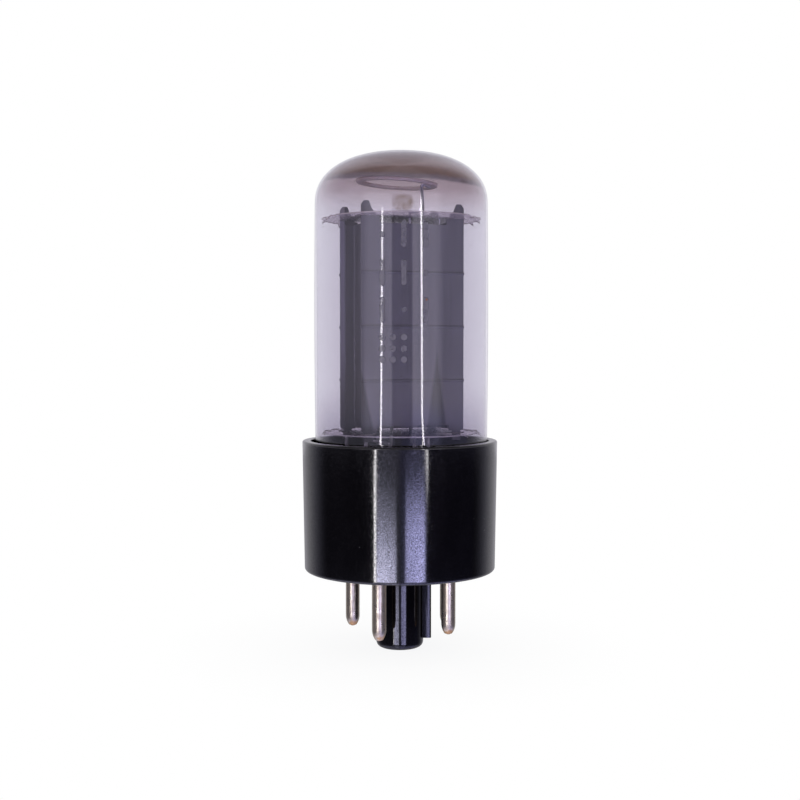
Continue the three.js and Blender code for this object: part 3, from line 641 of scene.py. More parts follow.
def mica_material():
    """Split mica: pinkish white, partly see-through, with faint cleavage flakes. Painted shade
    darkens it inside the cage, and a painted highlight lightens its upright outer edges.
    """
    s = Shader.material("mica")
    flakes = s.noise(0.35, 4, 0.6)
    scratches = s.noise(2.2, 2, 0.5, (1, 0.15, 1))
    across, depth, _ = s.cage_parts()
    outside = s.larger(s.smooth(s.size(depth), 5.0, 5.9), s.smooth(s.size(across), 8.6, 9.6))
    colour = s.mix(flakes, (0.58, 0.50, 0.47), (0.72, 0.64, 0.60))
    # Painted shade: nearly black inside the cage, where the anodes shade the mica.
    colour = s.mix(outside, (0.085, 0.075, 0.08), colour)
    # Painted highlight: the upright edges outside the cage are lighter, and lighter still on the
    # lower disc.
    lit_edge = s.times(s.upright_face(), outside)
    _, _, level = s.parts()
    edge_highlight_colour = s.mix(s.smooth(level, 30.0, 25.0), (0.60, 0.52, 0.44), (0.95, 0.88, 0.80))
    colour = s.mix(lit_edge, colour, edge_highlight_colour)
    surface = s.principled(
        Base_Color=colour, Roughness=s.smooth(scratches, 0.3, 0.7, 0.2, 0.4), IOR=1.58,
        Normal=s.bump(s.plus(flakes, scratches), 0.003),
    )
    clear = s.add("BsdfTransparent", {"Color": (0.93, 0.90, 0.92)})
    cover = s.smooth(flakes, 0.3, 0.7, 0.30, 0.45)
    cover = s.fade(cover, level, 30.0, 25.0, 1.0, 0.4)
    # More opaque inside the cage, so the painted shade shows.
    cover = s.larger(cover, s.smooth(outside, 1.0, 0.0, 0.0, 0.9))
    cover = s.larger(cover, s.times(lit_edge, 0.85))
    return s.done(s.add("MixShader", {0: cover, 1: clear, 2: surface}))


def metal_material(name, dark, light, rough, metallic=1.0):
    """Drawn wire or sheet metal with faint lines and a little oxide."""
    s = Shader.material(name)
    lines = s.noise(4.0, 3, 0.6, (1, 1, 0.2))
    oxide = s.noise(1.1, 4, 0.65)
    colour = s.mix(s.smooth(oxide, 0.3, 0.75), light, dark)
    return s.done(s.principled(
        Base_Color=colour, Metallic=metallic,
        Roughness=s.smooth(lines, 0.3, 0.7, rough * 0.7, rough * 1.4),
        Normal=s.bump(lines, 0.02, 0.5),
    ))


def oxide_material():
    """White sprayed emitter coating, chalky and a little uneven."""
    s = Shader.material("oxide_coating")
    grain = s.noise(7.0, 5, 0.7)
    colour = s.mix(grain, (0.56, 0.54, 0.50), (0.82, 0.80, 0.76))
    return s.done(s.principled(
        Base_Color=colour, Roughness=0.95, Normal=s.bump(grain, 0.06, 0.9),
    ))


def reflectance(s):
    """The share of light a glass surface sends back, which grows towards grazing angles."""
    facing = s.add("LayerWeight", {"Blend": 0.5}, output="Facing")
    return s.smooth(s.math("POWER", facing, 5.0), 0.0, 1.0, 0.045, 1.0, "LINEAR")


def clean_glass(s, tint, rough):
    """One surface of a thin glass wall."""
    clear = s.add("BsdfTransparent", {"Color": tint})
    mirror = s.add("BsdfGlossy", {"Color": (1, 1, 1), "Roughness": rough})
    return s.add("MixShader", {0: reflectance(s), 1: clear, 2: mirror})


def glass_tint(s, height):
    """What one surface of the bulb lets through, a little less near the base."""
    x, _, _ = s.parts()
    side = s.size(s.minus(x, BULB_AXIS))
    low = s.smooth(height, 32.0, 20.5)
    tint = s.mix(low, (0.878, 0.868, 0.905), (0.775, 0.758, 0.81))
    return s.mix(s.smooth(side, 13.0, 9.5), tint, (0.97, 0.965, 0.972), "MULTIPLY")


def mark(s, along, height, middle, level, half_length, radius):
    """A rounded upright bar, or a dot when half_length is 0."""
    soft = 0.06
    side = s.minus(along, middle)
    rise = s.size(s.minus(height, level))
    rise = s.larger(s.minus(rise, half_length), 0.0)
    squares = s.plus(s.math("POWER", side, 2.0), s.math("POWER", rise, 2.0))
    return s.smooth(s.math("SQRT", squares), radius + soft, radius - soft)


def along_front(s):
    """How far round the bulb a point is, in millimetres from the middle of its front."""
    x, y, _ = s.parts()
    turn = s.math("ARCTAN2", s.minus(x, BULB_AXIS), s.times(y, -1.0))
    return s.times(turn, BULB_RADIUS)


def print_marks(s):
    """Rows of plain rounded bars and dots on the front of the bulb, half rubbed away."""
    _, _, height = s.parts()
    along = along_front(s)
    marks = 0.0
    for row, level in enumerate(PRINT_HEIGHTS):
        for column in (-1, 0, 1):
            middle = PRINT_MIDDLE + column * PRINT_PITCH
            length = BAR_HALF_LENGTH if (row + column + 1) % 3 else 0.0
            one = mark(s, along, height, middle, level, length, BAR_RADIUS)
            marks = s.larger(marks, one)
    for level in DOT_HEIGHTS:
        for column in (-1, 0, 1):
            middle = DOT_MIDDLE + column * DOT_PITCH
            one = mark(s, along, height, middle, level, 0.0, DOT_RADIUS)
            marks = s.larger(marks, one)
    worn = s.smooth(s.noise(0.5, 3, 0.6), 0.35, 0.60, 0.55, 0.92)
    return s.times(marks, worn)


def outer_glass_material():
    """The outside of the bulb: dust, the faded marks and one brown spot."""
    s = Shader.material("bulb_glass")
    _, _, height = s.parts()
    glass = clean_glass(s, glass_tint(s, height), 0.025)
    dust = s.times(s.specks(0.45, 0.05, 0.45), 0.7)
    cover = s.larger(print_marks(s), dust)
    spot = mark(s, along_front(s), height, SPOT_ALONG, SPOT_HEIGHT, 0.0, SPOT_RADIUS)
    cover = s.larger(cover, spot)
    paint = s.add("BsdfDiffuse", {"Color": s.mix(spot, (0.16, 0.15, 0.152), (0.24, 0.10, 0.03))})
    return s.done(s.add("MixShader", {0: cover, 1: glass, 2: paint}))


def film_ramp(s, height, stops):
    """A colour for each height. The stops are (height, colour) pairs."""
    factor = s.smooth(height, FILM_LOW, FILM_HIGH, 0.0, 1.0, "LINEAR")
    node = s.tree.nodes.new("ShaderNodeValToRGB")
    s.tree.links.new(factor, node.inputs[0])
    ramp = node.color_ramp
    while len(ramp.elements) < len(stops):
        ramp.elements.new(0.5)
    for element, (level, colour) in zip(ramp.elements, stops):
        element.position = (level - FILM_LOW) / (FILM_HIGH - FILM_LOW)
        element.color = (*colour, 1)
    return node.outputs[0]


def smudge(s, x, height, centre, half_width, half_height, slope=0.0):
    """A soft oval, 1 at its middle, that may lean."""
    across = s.minus(x, centre[0])
    rise = s.minus(s.minus(height, centre[1]), s.times(across, slope))
    across = s.math("DIVIDE", across, half_width)
    rise = s.math("DIVIDE", rise, half_height)
    distance = s.plus(s.times(across, across), s.times(rise, rise))
    return s.smooth(distance, 1.0, 0.3)


def inner_glass_material():
    """The inside of the bulb, with the brown getter film flashed over its dome. The film
    ends in a dark grey band at the front, and thins out at the back."""
    s = Shader.material("bulb_glass_inside")
    x, y, height = s.parts()
    level = s.plus(height, s.times(x, math.tan(FILM_LEAN)))
    ragged = s.minus(s.noise(0.22, 4, 0.6, (1, 1, 2.5)), 0.5)
    level = s.plus(level, s.times(ragged, 0.6))
    front = film_ramp(s, level, (
        (59.5, (1.0, 1.0, 1.0)), (61.7, (0.93, 0.91, 0.92)), (63.5, (0.82, 0.79, 0.80)),
        (63.85, (0.38, 0.37, 0.41)), (64.4, (0.35, 0.32, 0.33)), (64.6, (0.32, 0.25, 0.20)),
        (65.5, (0.46, 0.37, 0.31)), (66.7, (0.60, 0.52, 0.47)), (69.5, (0.66, 0.60, 0.58)),
    ))
    back = film_ramp(s, level, (
        (58.7, (1.0, 1.0, 1.0)), (61.3, (0.92, 0.89, 0.89)), (63.8, (0.77, 0.69, 0.68)),
        (65.3, (0.72, 0.62, 0.60)), (69.5, (0.70, 0.62, 0.59)),
    ))
    film = s.mix(s.smooth(y, -9.0, 3.0), front, back)
    at_front = s.smooth(y, 0.0, -3.0)
    dark = 0.0
    for centre, half_width, half_height, slope in (
        ((-3.1, 66.2), 2.2, 0.17, -0.1), ((2.3, 66.4), 1.8, 0.17, 0.12),
        ((-8.5, 64.6), 0.6, 0.25, 0.0), ((10.2, 63.5), 0.8, 0.35, 0.0),
    ):
        one = smudge(s, x, height, centre, half_width, half_height, slope)
        dark = s.larger(dark, one)
    dark = s.times(dark, at_front)
    film = s.mix(s.times(dark, 0.45), film, (0.20, 0.15, 0.15))
    dark_patch = smudge(s, x, height, (0.6, 62.8), 2.3, 1.7)
    dark_patch = s.fade(dark_patch, y, 8.0, 10.0)
    dark_patch = s.times(dark_patch, s.smooth(s.noise(0.6, 3), 0.35, 0.6, 0.3, 0.9))
    film = s.mix(dark_patch, film, (0.44, 0.34, 0.27))
    tint = s.mix(1.0, glass_tint(s, height), film, "MULTIPLY")
    return s.done(clean_glass(s, tint, 0.03))


def stem_glass_material():
    """Lead glass of the stem, a little uneven in its tint."""
    s = Shader.material("stem_glass")
    cords = s.noise(0.8, 3, 0.6)
    tint = s.mix(cords, (0.80, 0.78, 0.80), (0.92, 0.90, 0.92))
    return s.done(clean_glass(s, tint, 0.05))


MATERIALS = {
    "phenolic": phenolic_material(),
    "pin_plating": pin_material(),
    "solder": solder_material(),
    "cement": cement_material(),
    "anode_carbonised": anode_material(),
    "mica": mica_material(),
    "nickel_wire": metal_material(
        "nickel_wire", (0.55, 0.52, 0.52), (0.88, 0.86, 0.86), rough=0.35, metallic=0.6),
    "copper_wire": metal_material(
        "copper_wire", (0.30, 0.13, 0.07), (0.62, 0.32, 0.19), rough=0.3),
    "getter_metal": metal_material(
        "getter_metal", (0.92, 0.73, 0.58), (1.0, 0.90, 0.76), rough=0.4, metallic=0.05),
    "oxide_coating": oxide_material(),
    "bulb_glass": outer_glass_material(),
    "bulb_glass_inside": inner_glass_material(),
    "stem_glass": stem_glass_material(),
}


# ---- pieces of the base

def pin_centre(number):
    """Where a pin stands, in millimetres."""
    low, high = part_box(f"pin_{number}")
    middle = (low + high) / 2 / MM
    return middle.x, middle.y


def base_shell():
    """The moulded base with its lug, key, pin holes, thin wall and rounded lips."""
    outline = rounded_outline((
        (0, -LUG_LENGTH, 0),
        (LUG_RADIUS, -LUG_LENGTH, 1.0),
        (LUG_RADIUS, 0, 0.25),
        (FOOT_RADIUS, 0, 0.5),
        (RIM_RADIUS, BASE_HEIGHT, 0.3),
        (RIM_INNER_RADIUS, BASE_HEIGHT, 0.15),
        (RIM_INNER_RADIUS, RIM_LEDGE, 0),
        (SKIRT_INNER_RADIUS, RIM_LEDGE, 0),
        (SKIRT_INNER_RADIUS, BASE_FLOOR, 0.5),
        (LUG_BORE, BASE_FLOOR, 0.3),
        (LUG_BORE, LUG_END_WALL - LUG_LENGTH, 0.5),
        (0, LUG_END_WALL - LUG_LENGTH, 0),
    ), closed=False)
    bm = bmesh.new()
    add_lathe(bm, supported(outline), BASE_SEGMENTS, closed=False)
    shell = to_object("base_shell_moulding", bm)

    holes = bmesh.new()
    for number in PIN_NUMBERS:
        bore = PIN_RADIUS + PIN_CLEARANCE
        section = ((0, -1), (bore, -1), (bore, BASE_FLOOR + 1), (0, BASE_FLOOR + 1))
        add_lathe(holes, section, HOLE_SEGMENTS, pin_centre(number), closed=False)
    cut(shell, holes)

    key = bmesh.new()
    inner = LUG_BORE + 0.4
    section = rounded_outline((
        (inner, -KEY_WIDTH / 2, 0), (KEY_REACH, -KEY_WIDTH / 2, 0.35),
        (KEY_REACH, KEY_WIDTH / 2, 0.35), (inner, KEY_WIDTH / 2, 0),
    ))
    add_prism(key, section, KEY_LENGTH + 1, lambda u, v, w: (u, v, 1 - w))
    cut(shell, key, "UNION")
    dress(shell, "base_shell", "phenolic")


def contact_pin(number):
    """A drawn tube pin with a rounded nose round its open mouth."""
    narrowing = 0.46
    fullness = 2.2
    nose = [
        (PIN_RADIUS * (1 - narrowing * (1 - t) ** fullness), -PIN_LENGTH + PIN_NOSE * t)
        for t in (0.0, 0.06, 0.14, 0.25, 0.4, 0.6, 0.8, 1.0)
    ]
    outline = [(PIN_MOUTH, -PIN_LENGTH)] + nose + [
        (PIN_RADIUS, PIN_TOP), (PIN_BORE, PIN_TOP),
        (PIN_BORE, -PIN_LENGTH + PIN_NOSE), (PIN_MOUTH, -PIN_LENGTH + PIN_NOSE / 2),
    ]
    bm = bmesh.new()
    add_lathe(bm, supported(outline), PIN_SEGMENTS, pin_centre(number))
    dress(to_object(f"pin_{number}_tube", bm), f"pin_{number}", "pin_plating")


def pin_solder(number):
    """The small dome of solder in a pin's mouth."""
    top = -PIN_LENGTH + SOLDER_DEPTH
    dome = [
        (SOLDER_RADIUS * math.sin(turn), -PIN_LENGTH - SOLDER_BULGE * math.cos(turn))
        for turn in (math.radians(a) for a in range(0, 91, 15))
    ]
    outline = dome + [(SOLDER_RADIUS, top), (0, top)]
    bm = bmesh.new()
    add_lathe(bm, outline, SOLDER_SEGMENTS, pin_centre(number), closed=False)
    dress(to_object(f"solder_{number}_dome", bm), f"solder_{number}", "solder")


# ---- the bulb

def dome_curve(radius, rise, count=22):
    """From the top of the straight wall to the axis."""
    points = []
    for i in range(count + 1):
        turn = math.pi / 2 * i / count
        points.append((
            radius * max(math.cos(turn), 0) ** (2 / DOME_POWER),
            DOME_HEIGHT + rise * math.sin(turn) ** (2 / DOME_POWER),
        ))
    points[-1] = (0, DOME_HEIGHT + rise)
    return points


def seal_curve(radius, drop, count=10):
    """The rounded foot, from the seal out to the straight wall."""
    width = radius - SEAL_RADIUS
    return [
        (SEAL_RADIUS + width * math.sin(turn), NECK_HEIGHT - drop * math.cos(turn))
        for turn in (math.pi / 2 * i / count for i in range(count + 1))
    ]


def wall_curve(count=16):
    """The outside wall, which swells a little at its middle."""
    points = []
    for i in range(count):
        height = BASE_HEIGHT + (DOME_HEIGHT - BASE_HEIGHT) * i / count
        points.append((BULB_RADIUS + BULB_BELLY * math.sin(math.pi * i / count), height))
    return points


def glass_bulb():
    """A closed shell of glass with an outside, an inside and the getter film on the inside."""
    inner = BULB_RADIUS - BULB_WALL
    drop = NECK_HEIGHT - SEAL_HEIGHT
    outside = seal_curve(BULB_RADIUS, drop) + wall_curve() + dome_curve(BULB_RADIUS, DOME_RISE)
    inside = seal_curve(inner, drop - BULB_WALL) + dome_curve(inner, DOME_RISE - BULB_WALL)
    inside.reverse()
    slots = [0] * len(outside) + [1] * len(inside)
    bm = bmesh.new()
    add_lathe(bm, outside + inside, BULB_SEGMENTS, (BULB_AXIS, 0), slots=slots)
    bulb = to_object("glass_bulb_shell", bm)
    for name in ("bulb_glass", "bulb_glass_inside"):
        bulb.data.materials.append(MATERIALS[name])
    dress(bulb, "glass_bulb", "bulb_glass")


# ---- pieces of the cage

def anode_outline():
    """An anode's outer sheet: tabs at the corners and notched edges, the same on each side."""
    half = ANODE_HALF_WIDTH
    top_tab = half - TOP_TAB_WIDTH
    foot_tab = half - FOOT_TAB_WIDTH
    over_mica = MICA_TOP + MICA_THICKNESS + 0.18
    tip = half - TOP_TAB_CHAMFER - TOP_TAB_TIP
    right = [
        (half - FOOT_CORNER, FOOT_TAB_END, 0), (half - FOOT_CORNER, ANODE_BOTTOM, 0),
        (half, ANODE_BOTTOM, 0.45), (half, TOP_TAB_TOP - 1.4 * TOP_TAB_CHAMFER, 0.3),
        (half - TOP_TAB_CHAMFER, TOP_TAB_TOP, 0.12), (tip, TOP_TAB_TOP, 0.12),
        (tip - TOP_TAB_CHAMFER, over_mica + 0.8, 0.8), (top_tab, over_mica, 0),
        (top_tab, ANODE_TOP, 0), (top_tab - TAB_SHOULDER, ANODE_TOP, 0),
        (top_tab - TAB_SHOULDER, ANODE_TOP - EDGE_NOTCH, 0),
    ]
    foot = [
        (foot_tab - TAB_SHOULDER, ANODE_BOTTOM + EDGE_NOTCH, 0),
        (foot_tab - TAB_SHOULDER, ANODE_BOTTOM, 0), (foot_tab, ANODE_BOTTOM, 0),
        (foot_tab, FOOT_TAB_END, 0),
    ]
    left = [(-x, z, radius) for x, z, radius in reversed(foot + right)]
    return rounded_outline(right + left + foot)


def add_rib(bm, height, place):
    """A half-round rib pressed across the sheet, tapering at its ends."""
    reach = ANODE_HALF_WIDTH + RIB_OVERHANG
    taper = 0.12
    end_size = 0.3
    steps = 12
    stations = ((-reach, end_size), (taper - reach, 1.0), (reach - taper, 1.0), (reach, end_size))
    rings = []
    for along, size in stations:
        ring = []
        for i in range(steps + 1):
            turn = math.pi * i / steps
            rise = size * RIB_HEIGHT / 2 * math.cos(turn)
            depth = size * RIB_DEPTH * math.sin(turn)
            ring.append(bm.verts.new(place(along, height + rise, -depth)))
        ring.append(bm.verts.new(place(along, height - size * RIB_HEIGHT / 2, ANODE_SHEET / 2)))
        ring.append(bm.verts.new(place(along, height + size * RIB_HEIGHT / 2, ANODE_SHEET / 2)))
        rings.append(ring)
    add_skin(bm, rings)


def anode_face(number):
    """The ribbed outer sheet of an anode."""
    def place(u, v, w):
        return on_half(number, u, w - ANODE_FACE, v)

    bm = bmesh.new()
    add_prism(bm, anode_outline(), ANODE_SHEET, place)
    for i in range(RIB_COUNT):
        add_rib(bm, RIB_LOWEST + RIB_PITCH * i, place)
    made = to_object(f"anode_{number}_outer_sheet", bm)
    soften_edges(made, 0.04)
    dress(made, f"anode_{number}_face", "anode_carbonised")


def anode_channel(number):
    """The inner sheet: a rounded channel round the filament with a flange each side."""
    back = ANODE_SHEET + WELD_GAP - ANODE_FACE
    wall = CHANNEL_HALF_WIDTH
    flange = wall + CHANNEL_FLANGE
    sheet = ANODE_SHEET
    under_floor = -CHANNEL_FLOOR - sheet
    outside = [
        (flange, back + sheet, 0), (wall, back + sheet, 0.3),
        (wall, -CHANNEL_FLOOR, 1.3), (-wall, -CHANNEL_FLOOR, 1.3),
        (-wall, back + sheet, 0.3), (-flange, back + sheet, 0),
    ]
    inside = [
        (-flange, back, 0), (sheet - wall, back, 0.2), (sheet - wall, under_floor, 1.05),
        (wall - sheet, under_floor, 1.05), (wall - sheet, back, 0.2), (flange, back, 0),
    ]
    bm = bmesh.new()
    add_prism(bm, rounded_outline(outside + inside, 8), CHANNEL_TOP - CHANNEL_BOTTOM,
              lambda u, v, w: on_half(number, u, v, CHANNEL_BOTTOM + w))
    made = to_object(f"anode_{number}_inner_channel", bm)
    dress(made, f"anode_{number}_channel", "anode_carbonised")


def add_opening(bm, outline, level):
    """A cutter that goes through a mica, from below it to above it."""
    add_prism(bm, outline, 5 * MICA_THICKNESS,
              lambda u, v, w: cage_point(u, v, level - 2 * MICA_THICKNESS + w))


def add_slot(bm, x, y, width, depth, level):
    corners = ((-1, -1), (1, -1), (1, 1), (-1, 1))
    add_opening(bm, [(x + a * width / 2, y + b * depth / 2) for a, b in corners], level)


def add_hole(bm, x, y, level):
    add_opening(bm, [(x + p.x, y + p.y) for p in circle(HOOK_HOLE, 20)], level)


def add_tab_slots(bm, tab_width, level):
    """Openings for the four tabs of the two anodes."""
    middle = ANODE_HALF_WIDTH - tab_width / 2
    setback = ANODE_FACE - ANODE_SHEET / 2
    width = tab_width + 2 * SLOT_CLEARANCE
    depth = ANODE_SHEET + 2 * SLOT_CLEARANCE
    for side, face in CAGE_QUARTERS:
        add_slot(bm, side * middle, face * setback, width, depth, level)


def mica_disc(name, level, seed):
    """A toothed disc. Its teeth differ in length, and some are bent by the bulb."""
    chance = random.Random(seed)
    count = 2 * MICA_TEETH
    flat = MICA_RADIUS - MICA_RIM
    bm = bmesh.new()
    lower, upper = [], []
    inner_lower, inner_upper = [], []
    for i in range(count):
        turn = 2 * math.pi * i / count
        tooth = i % 2 == 0
        at_side = abs(math.cos(turn + CAGE_TURN)) > 0.8
        notch = MICA_TOOTH if at_side else MICA_TOOTH / 3
        radius = MICA_RADIUS - (0.05 if tooth else notch) * (0.6 + 0.8 * chance.random())
        bend = chance.choice((0, 0, -0.3, -0.55)) if tooth and at_side else 0
        for ring, reach, height in (
            (lower, radius, bend), (upper, radius, MICA_THICKNESS + bend),
            (inner_lower, flat, 0), (inner_upper, flat, MICA_THICKNESS),
        ):
            ring.append(bm.verts.new(cage_point(
                reach * math.cos(turn), reach * math.sin(turn), level + height,
            )))
    bridge(bm, inner_lower, lower)
    bridge(bm, lower, upper)
    bridge(bm, upper, inner_upper)
    bm.faces.new(list(reversed(inner_lower)))
    bm.faces.new(inner_upper)
    return to_object(name, bm, sharp_angle=20)


def top_mica():
    made = mica_disc("mica_top_disc", MICA_TOP, seed=11)
    cutter = bmesh.new()
    add_tab_slots(cutter, TOP_TAB_WIDTH, MICA_TOP)
    for face in (-1, 1):
        shank = face * (FILAMENT_SETBACK + HOOK_REACH)
        add_hole(cutter, 0, shank, MICA_TOP)
        add_hole(cutter, -face * SPRING_LENGTH, shank, MICA_TOP)
    add_hole(cutter, GETTER_FOOT, 0, MICA_TOP)
    cut(made, cutter)
    dress(made, "mica_top", "mica")


def bottom_mica():
    made = mica_disc("mica_bottom_disc", MICA_BOTTOM, seed=23)
    cutter = bmesh.new()
    add_tab_slots(cutter, FOOT_TAB_WIDTH, MICA_BOTTOM)
    rise = (MICA_BOTTOM - FILAMENT_FOOT) / (FILAMENT_APEX - FILAMENT_FOOT)
    depth = FILAMENT_RIBBON + 0.4
    for side, face in CAGE_QUARTERS:
        across = side * FILAMENT_SPREAD * (1 - rise)
        add_slot(cutter, across, face * FILAMENT_SETBACK, 1, depth, MICA_BOTTOM)
    cut(made, cutter)
    dress(made, "mica_bottom", "mica")


def filament(number):
    """A coated ribbon over its hook."""
    apex = FILAMENT_APEX
    rise = FILAMENT_BEND_RISE
    steps = 12
    bend = []
    for i in range(steps + 1):
        turn = math.pi * i / steps
        bend.append((FILAMENT_BEND * math.cos(turn), apex - rise + rise * math.sin(turn) ** 0.8))
    outer = [(FILAMENT_SPREAD, FILAMENT_FOOT)] + bend + [(-FILAMENT_SPREAD, FILAMENT_FOOT)]
    shrink = FILAMENT_THICKNESS
    inner = []
    for x, z in reversed(outer):
        nearer = x - math.copysign(shrink, x) if abs(x) > shrink else 0.0
        inner.append((nearer, z - shrink if z > apex - 1 else z))
    bm = bmesh.new()
    add_prism(bm, outer + inner, FILAMENT_RIBBON,
              lambda u, v, w: on_half(number, u, w - FILAMENT_RIBBON / 2 - FILAMENT_SETBACK, v))
    made = to_object(f"filament_{number}_ribbon", bm)
    dress(made, f"filament_{number}", "oxide_coating", body=None)
    middle = on_half(number, 0, -FILAMENT_SETBACK, 0)
    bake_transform(made)


def filament_hook(number):
    """The wire hook that holds a filament's bend and carries the spring's push."""
    middle = -FILAMENT_SETBACK
    shank = middle - HOOK_REACH
    crook = FILAMENT_APEX - FILAMENT_THICKNESS - HOOK_WIRE - 0.1
    arm = MICA_TOP + MICA_THICKNESS + 2 * SPRING_WIRE + HOOK_WIRE + 0.2
    points = (
        (0, middle + HOOK_REACH, crook + 0.7), (0, middle + HOOK_REACH, crook + 0.35),
        (0, middle + HOOK_REACH - 0.3, crook), (0, middle, crook), (0, shank + 0.3, crook),
        (0, shank, crook + 0.4), (0, shank, crook + 1.5), (0, shank, arm - 0.35),
        (0.35, shank, arm), (HOOK_ARM, shank, arm),
    )
    bm = bmesh.new()
    add_wire(bm, [on_half(number, *point) for point in points], HOOK_WIRE)
    made = to_object(f"hook_{number}_wire", bm)
    dress(made, f"filament_hook_{number}", "nickel_wire", f"hook_{number}")


def filament_spring(number):
    """The springy wire under a hook's arm."""
    shank = -FILAMENT_SETBACK - HOOK_REACH
    lie = MICA_TOP + MICA_THICKNESS + SPRING_WIRE + 0.1
    points = (
        (SPRING_LENGTH, shank, MICA_TOP - 0.9), (SPRING_LENGTH, shank, lie - 0.4),
        (SPRING_LENGTH - 0.4, shank, lie), (SPRING_LENGTH / 2, shank, lie), (0.55, shank, lie),
    )
    bm = bmesh.new()
    add_wire(bm, [on_half(number, *point) for point in points], SPRING_WIRE)
    made = to_object(f"spring_{number}_wire", bm)
    dress(made, f"filament_spring_{number}", "nickel_wire", body=None)
    fixed = on_half(number, SPRING_LENGTH - 0.8, shank, SEAT + lie) * MM
    free = on_half(number, 0.9, shank, SEAT + lie) * MM
    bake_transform(made)


# ---- the getter

def tilt_getter(bm):
    bm.transform(Matrix.Translation(GETTER_CENTRE) @ Matrix.Rotation(GETTER_TILT, 4, "Y"))


def getter_ring():
    """A ring of folded channel, open upwards, with rolled edges."""
    outer = GETTER_RADIUS
    inner = GETTER_RADIUS - GETTER_WIDTH
    half = GETTER_HEIGHT / 2
    sheet = GETTER_SHEET
    outline = rounded_outline((
        (inner, -half, 0.18), (outer, -half, 0.18), (outer, half, 0.08),
        (outer - sheet, half, 0.08), (outer - sheet, sheet - half, 0.05),
        (inner + sheet, sheet - half, 0.05), (inner + sheet, half, 0.08), (inner, half, 0.08),
    ))
    bm = bmesh.new()
    add_lathe(bm, outline, RING_SEGMENTS)
    tilt_getter(bm)
    dress(to_object("getter_ring_channel", bm, sharp_angle=50), "getter_ring", "getter_metal")


def getter_wire():
    """The wire that holds the ring over the top mica."""
    middle = GETTER_RADIUS - GETTER_WIDTH / 2
    turn = math.radians(-40)
    under = -GETTER_HEIGHT / 2 - GETTER_WIRE - 0.08
    top = Vector((middle * math.cos(turn), middle * math.sin(turn), under))
    along = Vector((-math.sin(turn), math.cos(turn), 0))
    tilt = Matrix.Rotation(GETTER_TILT, 3, "Y")
    foot = cage_point(GETTER_FOOT, 0, 0)
    points = (
        GETTER_CENTRE + tilt @ (top + 1.2 * along),
        GETTER_CENTRE + tilt @ (top - 0.8 * along),
        Vector((foot.x - 0.1, foot.y - 2.6, 61.9)),
        Vector((foot.x, foot.y, MICA_TOP + MICA_THICKNESS + 0.6)),
        Vector((foot.x, foot.y, MICA_TOP - 1.1)),
    )
    bm = bmesh.new()
    add_wire(bm, points, GETTER_WIRE)
    dress(to_object("getter_support_wire", bm), "getter_wire", "nickel_wire")


# ---- CAD nodes that stay

def keep_cad_nodes():
    """The pieces whose CAD shape is right get their materials."""
    kept = {
        "cement": ["base_cement"],
        "stem_glass": ["stem_flare", "stem_press", "exhaust_tube"],
        "nickel_wire": ["filament_link"] + [f"inner_lead_{n}" for n in (2, 4, 6, 8)],
        "copper_wire": [f"outer_lead_{n}" for n in (2, 4, 6, 8)],
    }
    for name, nodes in kept.items():
        for node in nodes:
            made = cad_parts[node]
            made.data.materials.clear()
            made.data.materials.append(MATERIALS[name])


# ---- studio

def strip(s, azimuth, elevation, centre, top, bottom):
    """A narrow upright light, from one elevation to another."""
    away = s.size(s.minus(azimuth, centre))
    lit = s.smooth(away, STRIP_WIDTH * 0.75, STRIP_WIDTH * 0.22)
    lit = s.fade(lit, elevation, top + 0.4, top - 0.4)
    return s.fade(lit, elevation, bottom - 1.2, bottom + 1.2)


def lower_glow(s, azimuth, side, elevation):
    """The lit table in front, seen only in what faces down to it."""
    down = s.smooth(elevation, -6.9, -12.4, 0.0, 1.0, "LINEAR")
    on_left = s.plus(0.35, s.times(s.math("POWER", down, 2.4), 1.25 * GLOW_LEVEL))
    on_right = s.smooth(elevation, -7.3, -11.0, 0.45, 0.9 * GLOW_LEVEL)
    glow = s.add("Mix", {"Factor": s.smooth(azimuth, -1.0, 3.0), "A": on_left, "B": on_right})
    glow = s.fade(glow, side, 4.0, 24.0, 0.75, 1.1, "LINEAR")
    glow = s.fade(glow, side, 31.0, 26.0)
    glow = s.fade(glow, elevation, -16.5, -13.6, 0.08, 1.0)
    rest = s.smooth(elevation, -11.8, -13.6, 0.03, 0.2)
    return s.plus(glow, rest)


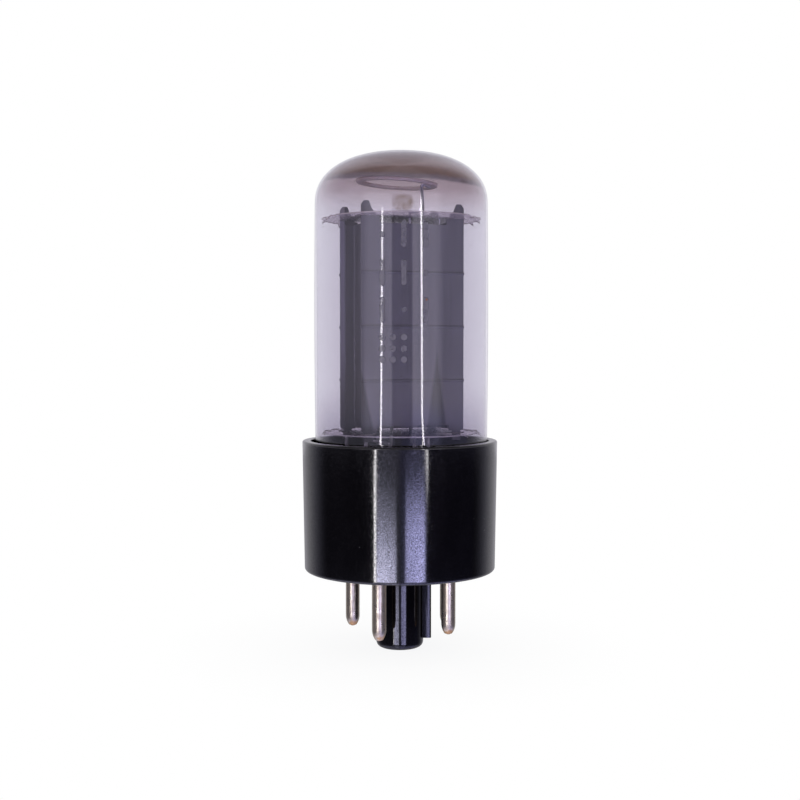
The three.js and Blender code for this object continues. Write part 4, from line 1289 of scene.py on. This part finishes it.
def studio_world():
    """White all round for the camera. For reflections, a studio of dim panels, two narrow
    strips and a pale table, with a dark gap where the camera stands."""
    world = bpy.data.worlds.new("studio")
    bpy.context.scene.world = world
    world.use_nodes = True
    s = Shader(world.node_tree)
    x, y, z = s.split(s.add("TexCoord", output="Generated"))
    azimuth = s.math("DEGREES", s.math("ARCTAN2", x, s.times(y, -1.0)))
    elevation = s.math("DEGREES", s.math("ARCSINE", z))
    side = s.size(s.minus(azimuth, STUDIO_MIDDLE))

    upper = s.smooth(elevation, -5.5, -4.8)
    gap = s.smooth(upper, 0.0, 1.0, 5.5, 13.4, "LINEAR")
    beside_camera = s.smooth(s.minus(side, gap), -1.6, 1.6)
    beside_camera = s.larger(beside_camera, s.smooth(elevation, 9.0, 13.0))
    panels = s.smooth(side, 44.0, 58.0, 1.3, 0.6)
    panels = s.fade(panels, elevation, 9.0, 16.0, 1.0, 0.3)
    panels = s.times(panels, beside_camera)
    glow = s.times(lower_glow(s, azimuth, side, elevation), beside_camera)
    level = s.add("Mix", {"Factor": upper, "A": glow, "B": panels})
    level = s.plus(level, s.smooth(beside_camera, 1.0, 0.0, 0.0, GAP_LEVEL, "LINEAR"))
    level = s.plus(level, s.smooth(elevation, -28.0, -42.0, 0.0, TABLE_LEVEL))
    behind = s.smooth(side, 95.0, 140.0)
    horizon = s.smooth(upper, 0.0, 1.0, 0.6, 0.9)
    horizon = s.fade(horizon, side, 152.0, 170.0, 1.0, 0.7)
    level = s.add("Mix", {"Factor": behind, "A": level, "B": horizon})

    low = s.smooth(elevation, -4.0, -7.5)
    left = s.plus(STRIP_LEFT, s.times(elevation, 0.15))
    right = s.plus(STRIP_RIGHT, s.times(elevation, -0.1))
    left = s.minus(left, s.times(low, 1.8))
    right = s.plus(right, s.times(low, 4.4))
    strips = s.plus(strip(s, azimuth, elevation, left, 7.6, -20),
                    strip(s, azimuth, elevation, right, 8.9, -7.6))
    strip_level = s.smooth(elevation, -5.0, -6.5, STRIP_LEVEL, 1.9 * STRIP_LEVEL)
    strips = s.times(strips, strip_level)

    blue = s.times(s.smooth(azimuth, -3.0, 3.0), s.smooth(azimuth, 100.0, 95.0))
    blue = s.fade(blue, elevation, -3.0, -6.0)
    pale = s.mix(s.smooth(elevation, -3.0, -6.0), (0.97, 0.93, 1.07), (0.90, 0.89, 1.22))
    pale = s.mix(behind, pale, (0.99, 0.97, 1.05))
    pale = s.mix(blue, pale, (0.76, 0.75, 1.32))
    pale = s.mix(s.smooth(strips, 1.0, 4.0), pale, (1.0, 0.97, 1.0))
    studio = s.add("Background", {"Color": pale, "Strength": s.plus(level, strips)})
    white = s.add("Background", {"Color": (1, 1, 1), "Strength": 1.0})
    camera_ray = s.add("LightPath", output="Is Camera Ray")
    s.done(s.add("MixShader", {0: camera_ray, 1: studio, 2: white}))


def floor():
    """A plain pale floor that only shows a faint shade round the valve's foot."""
    bm = bmesh.new()
    reach = 1500
    bm.faces.new([bm.verts.new((x * reach, y * reach, -SEAT))
                  for x, y in ((-1, -1), (1, -1), (1, 1), (-1, 1))])
    made = to_object("floor", bm)
    s = Shader.material("floor")
    shade = s.add("AmbientOcclusion", {"Distance": 0.03}, output="AO", samples=8)
    colour = s.mix(shade, (0.90, 0.90, 0.91), (1, 1, 1))
    made.data.materials.append(s.done(s.add("Emission", {"Color": colour, "Strength": 1.0})))
    made.visible_glossy = False
    made.visible_diffuse = False
    made.visible_shadow = False


def camera():
    data = bpy.data.cameras.new("camera")
    data.lens = CAMERA_LENS
    data.sensor_width = 36
    data.clip_start = 0.01
    made = bpy.data.objects.new("camera", data)
    made.location = Vector((CAMERA_SIDE, -CAMERA_DISTANCE, CAMERA_HEIGHT + SEAT)) * MM
    made.rotation_euler = (math.pi / 2 - CAMERA_PITCH, 0, 0)
    bpy.context.scene.collection.objects.link(made)
    bpy.context.scene.camera = made


base_shell()
for number in PIN_NUMBERS:
    contact_pin(number)
    pin_solder(number)
glass_bulb()
for number in (1, 2):
    anode_face(number)
    anode_channel(number)
    filament(number)
    filament_hook(number)
    filament_spring(number)
top_mica()
bottom_mica()
getter_ring()
getter_wire()
keep_cad_nodes()

studio_world()
floor()
camera()
bpy.context.scene.view_settings.view_transform = "Standard"
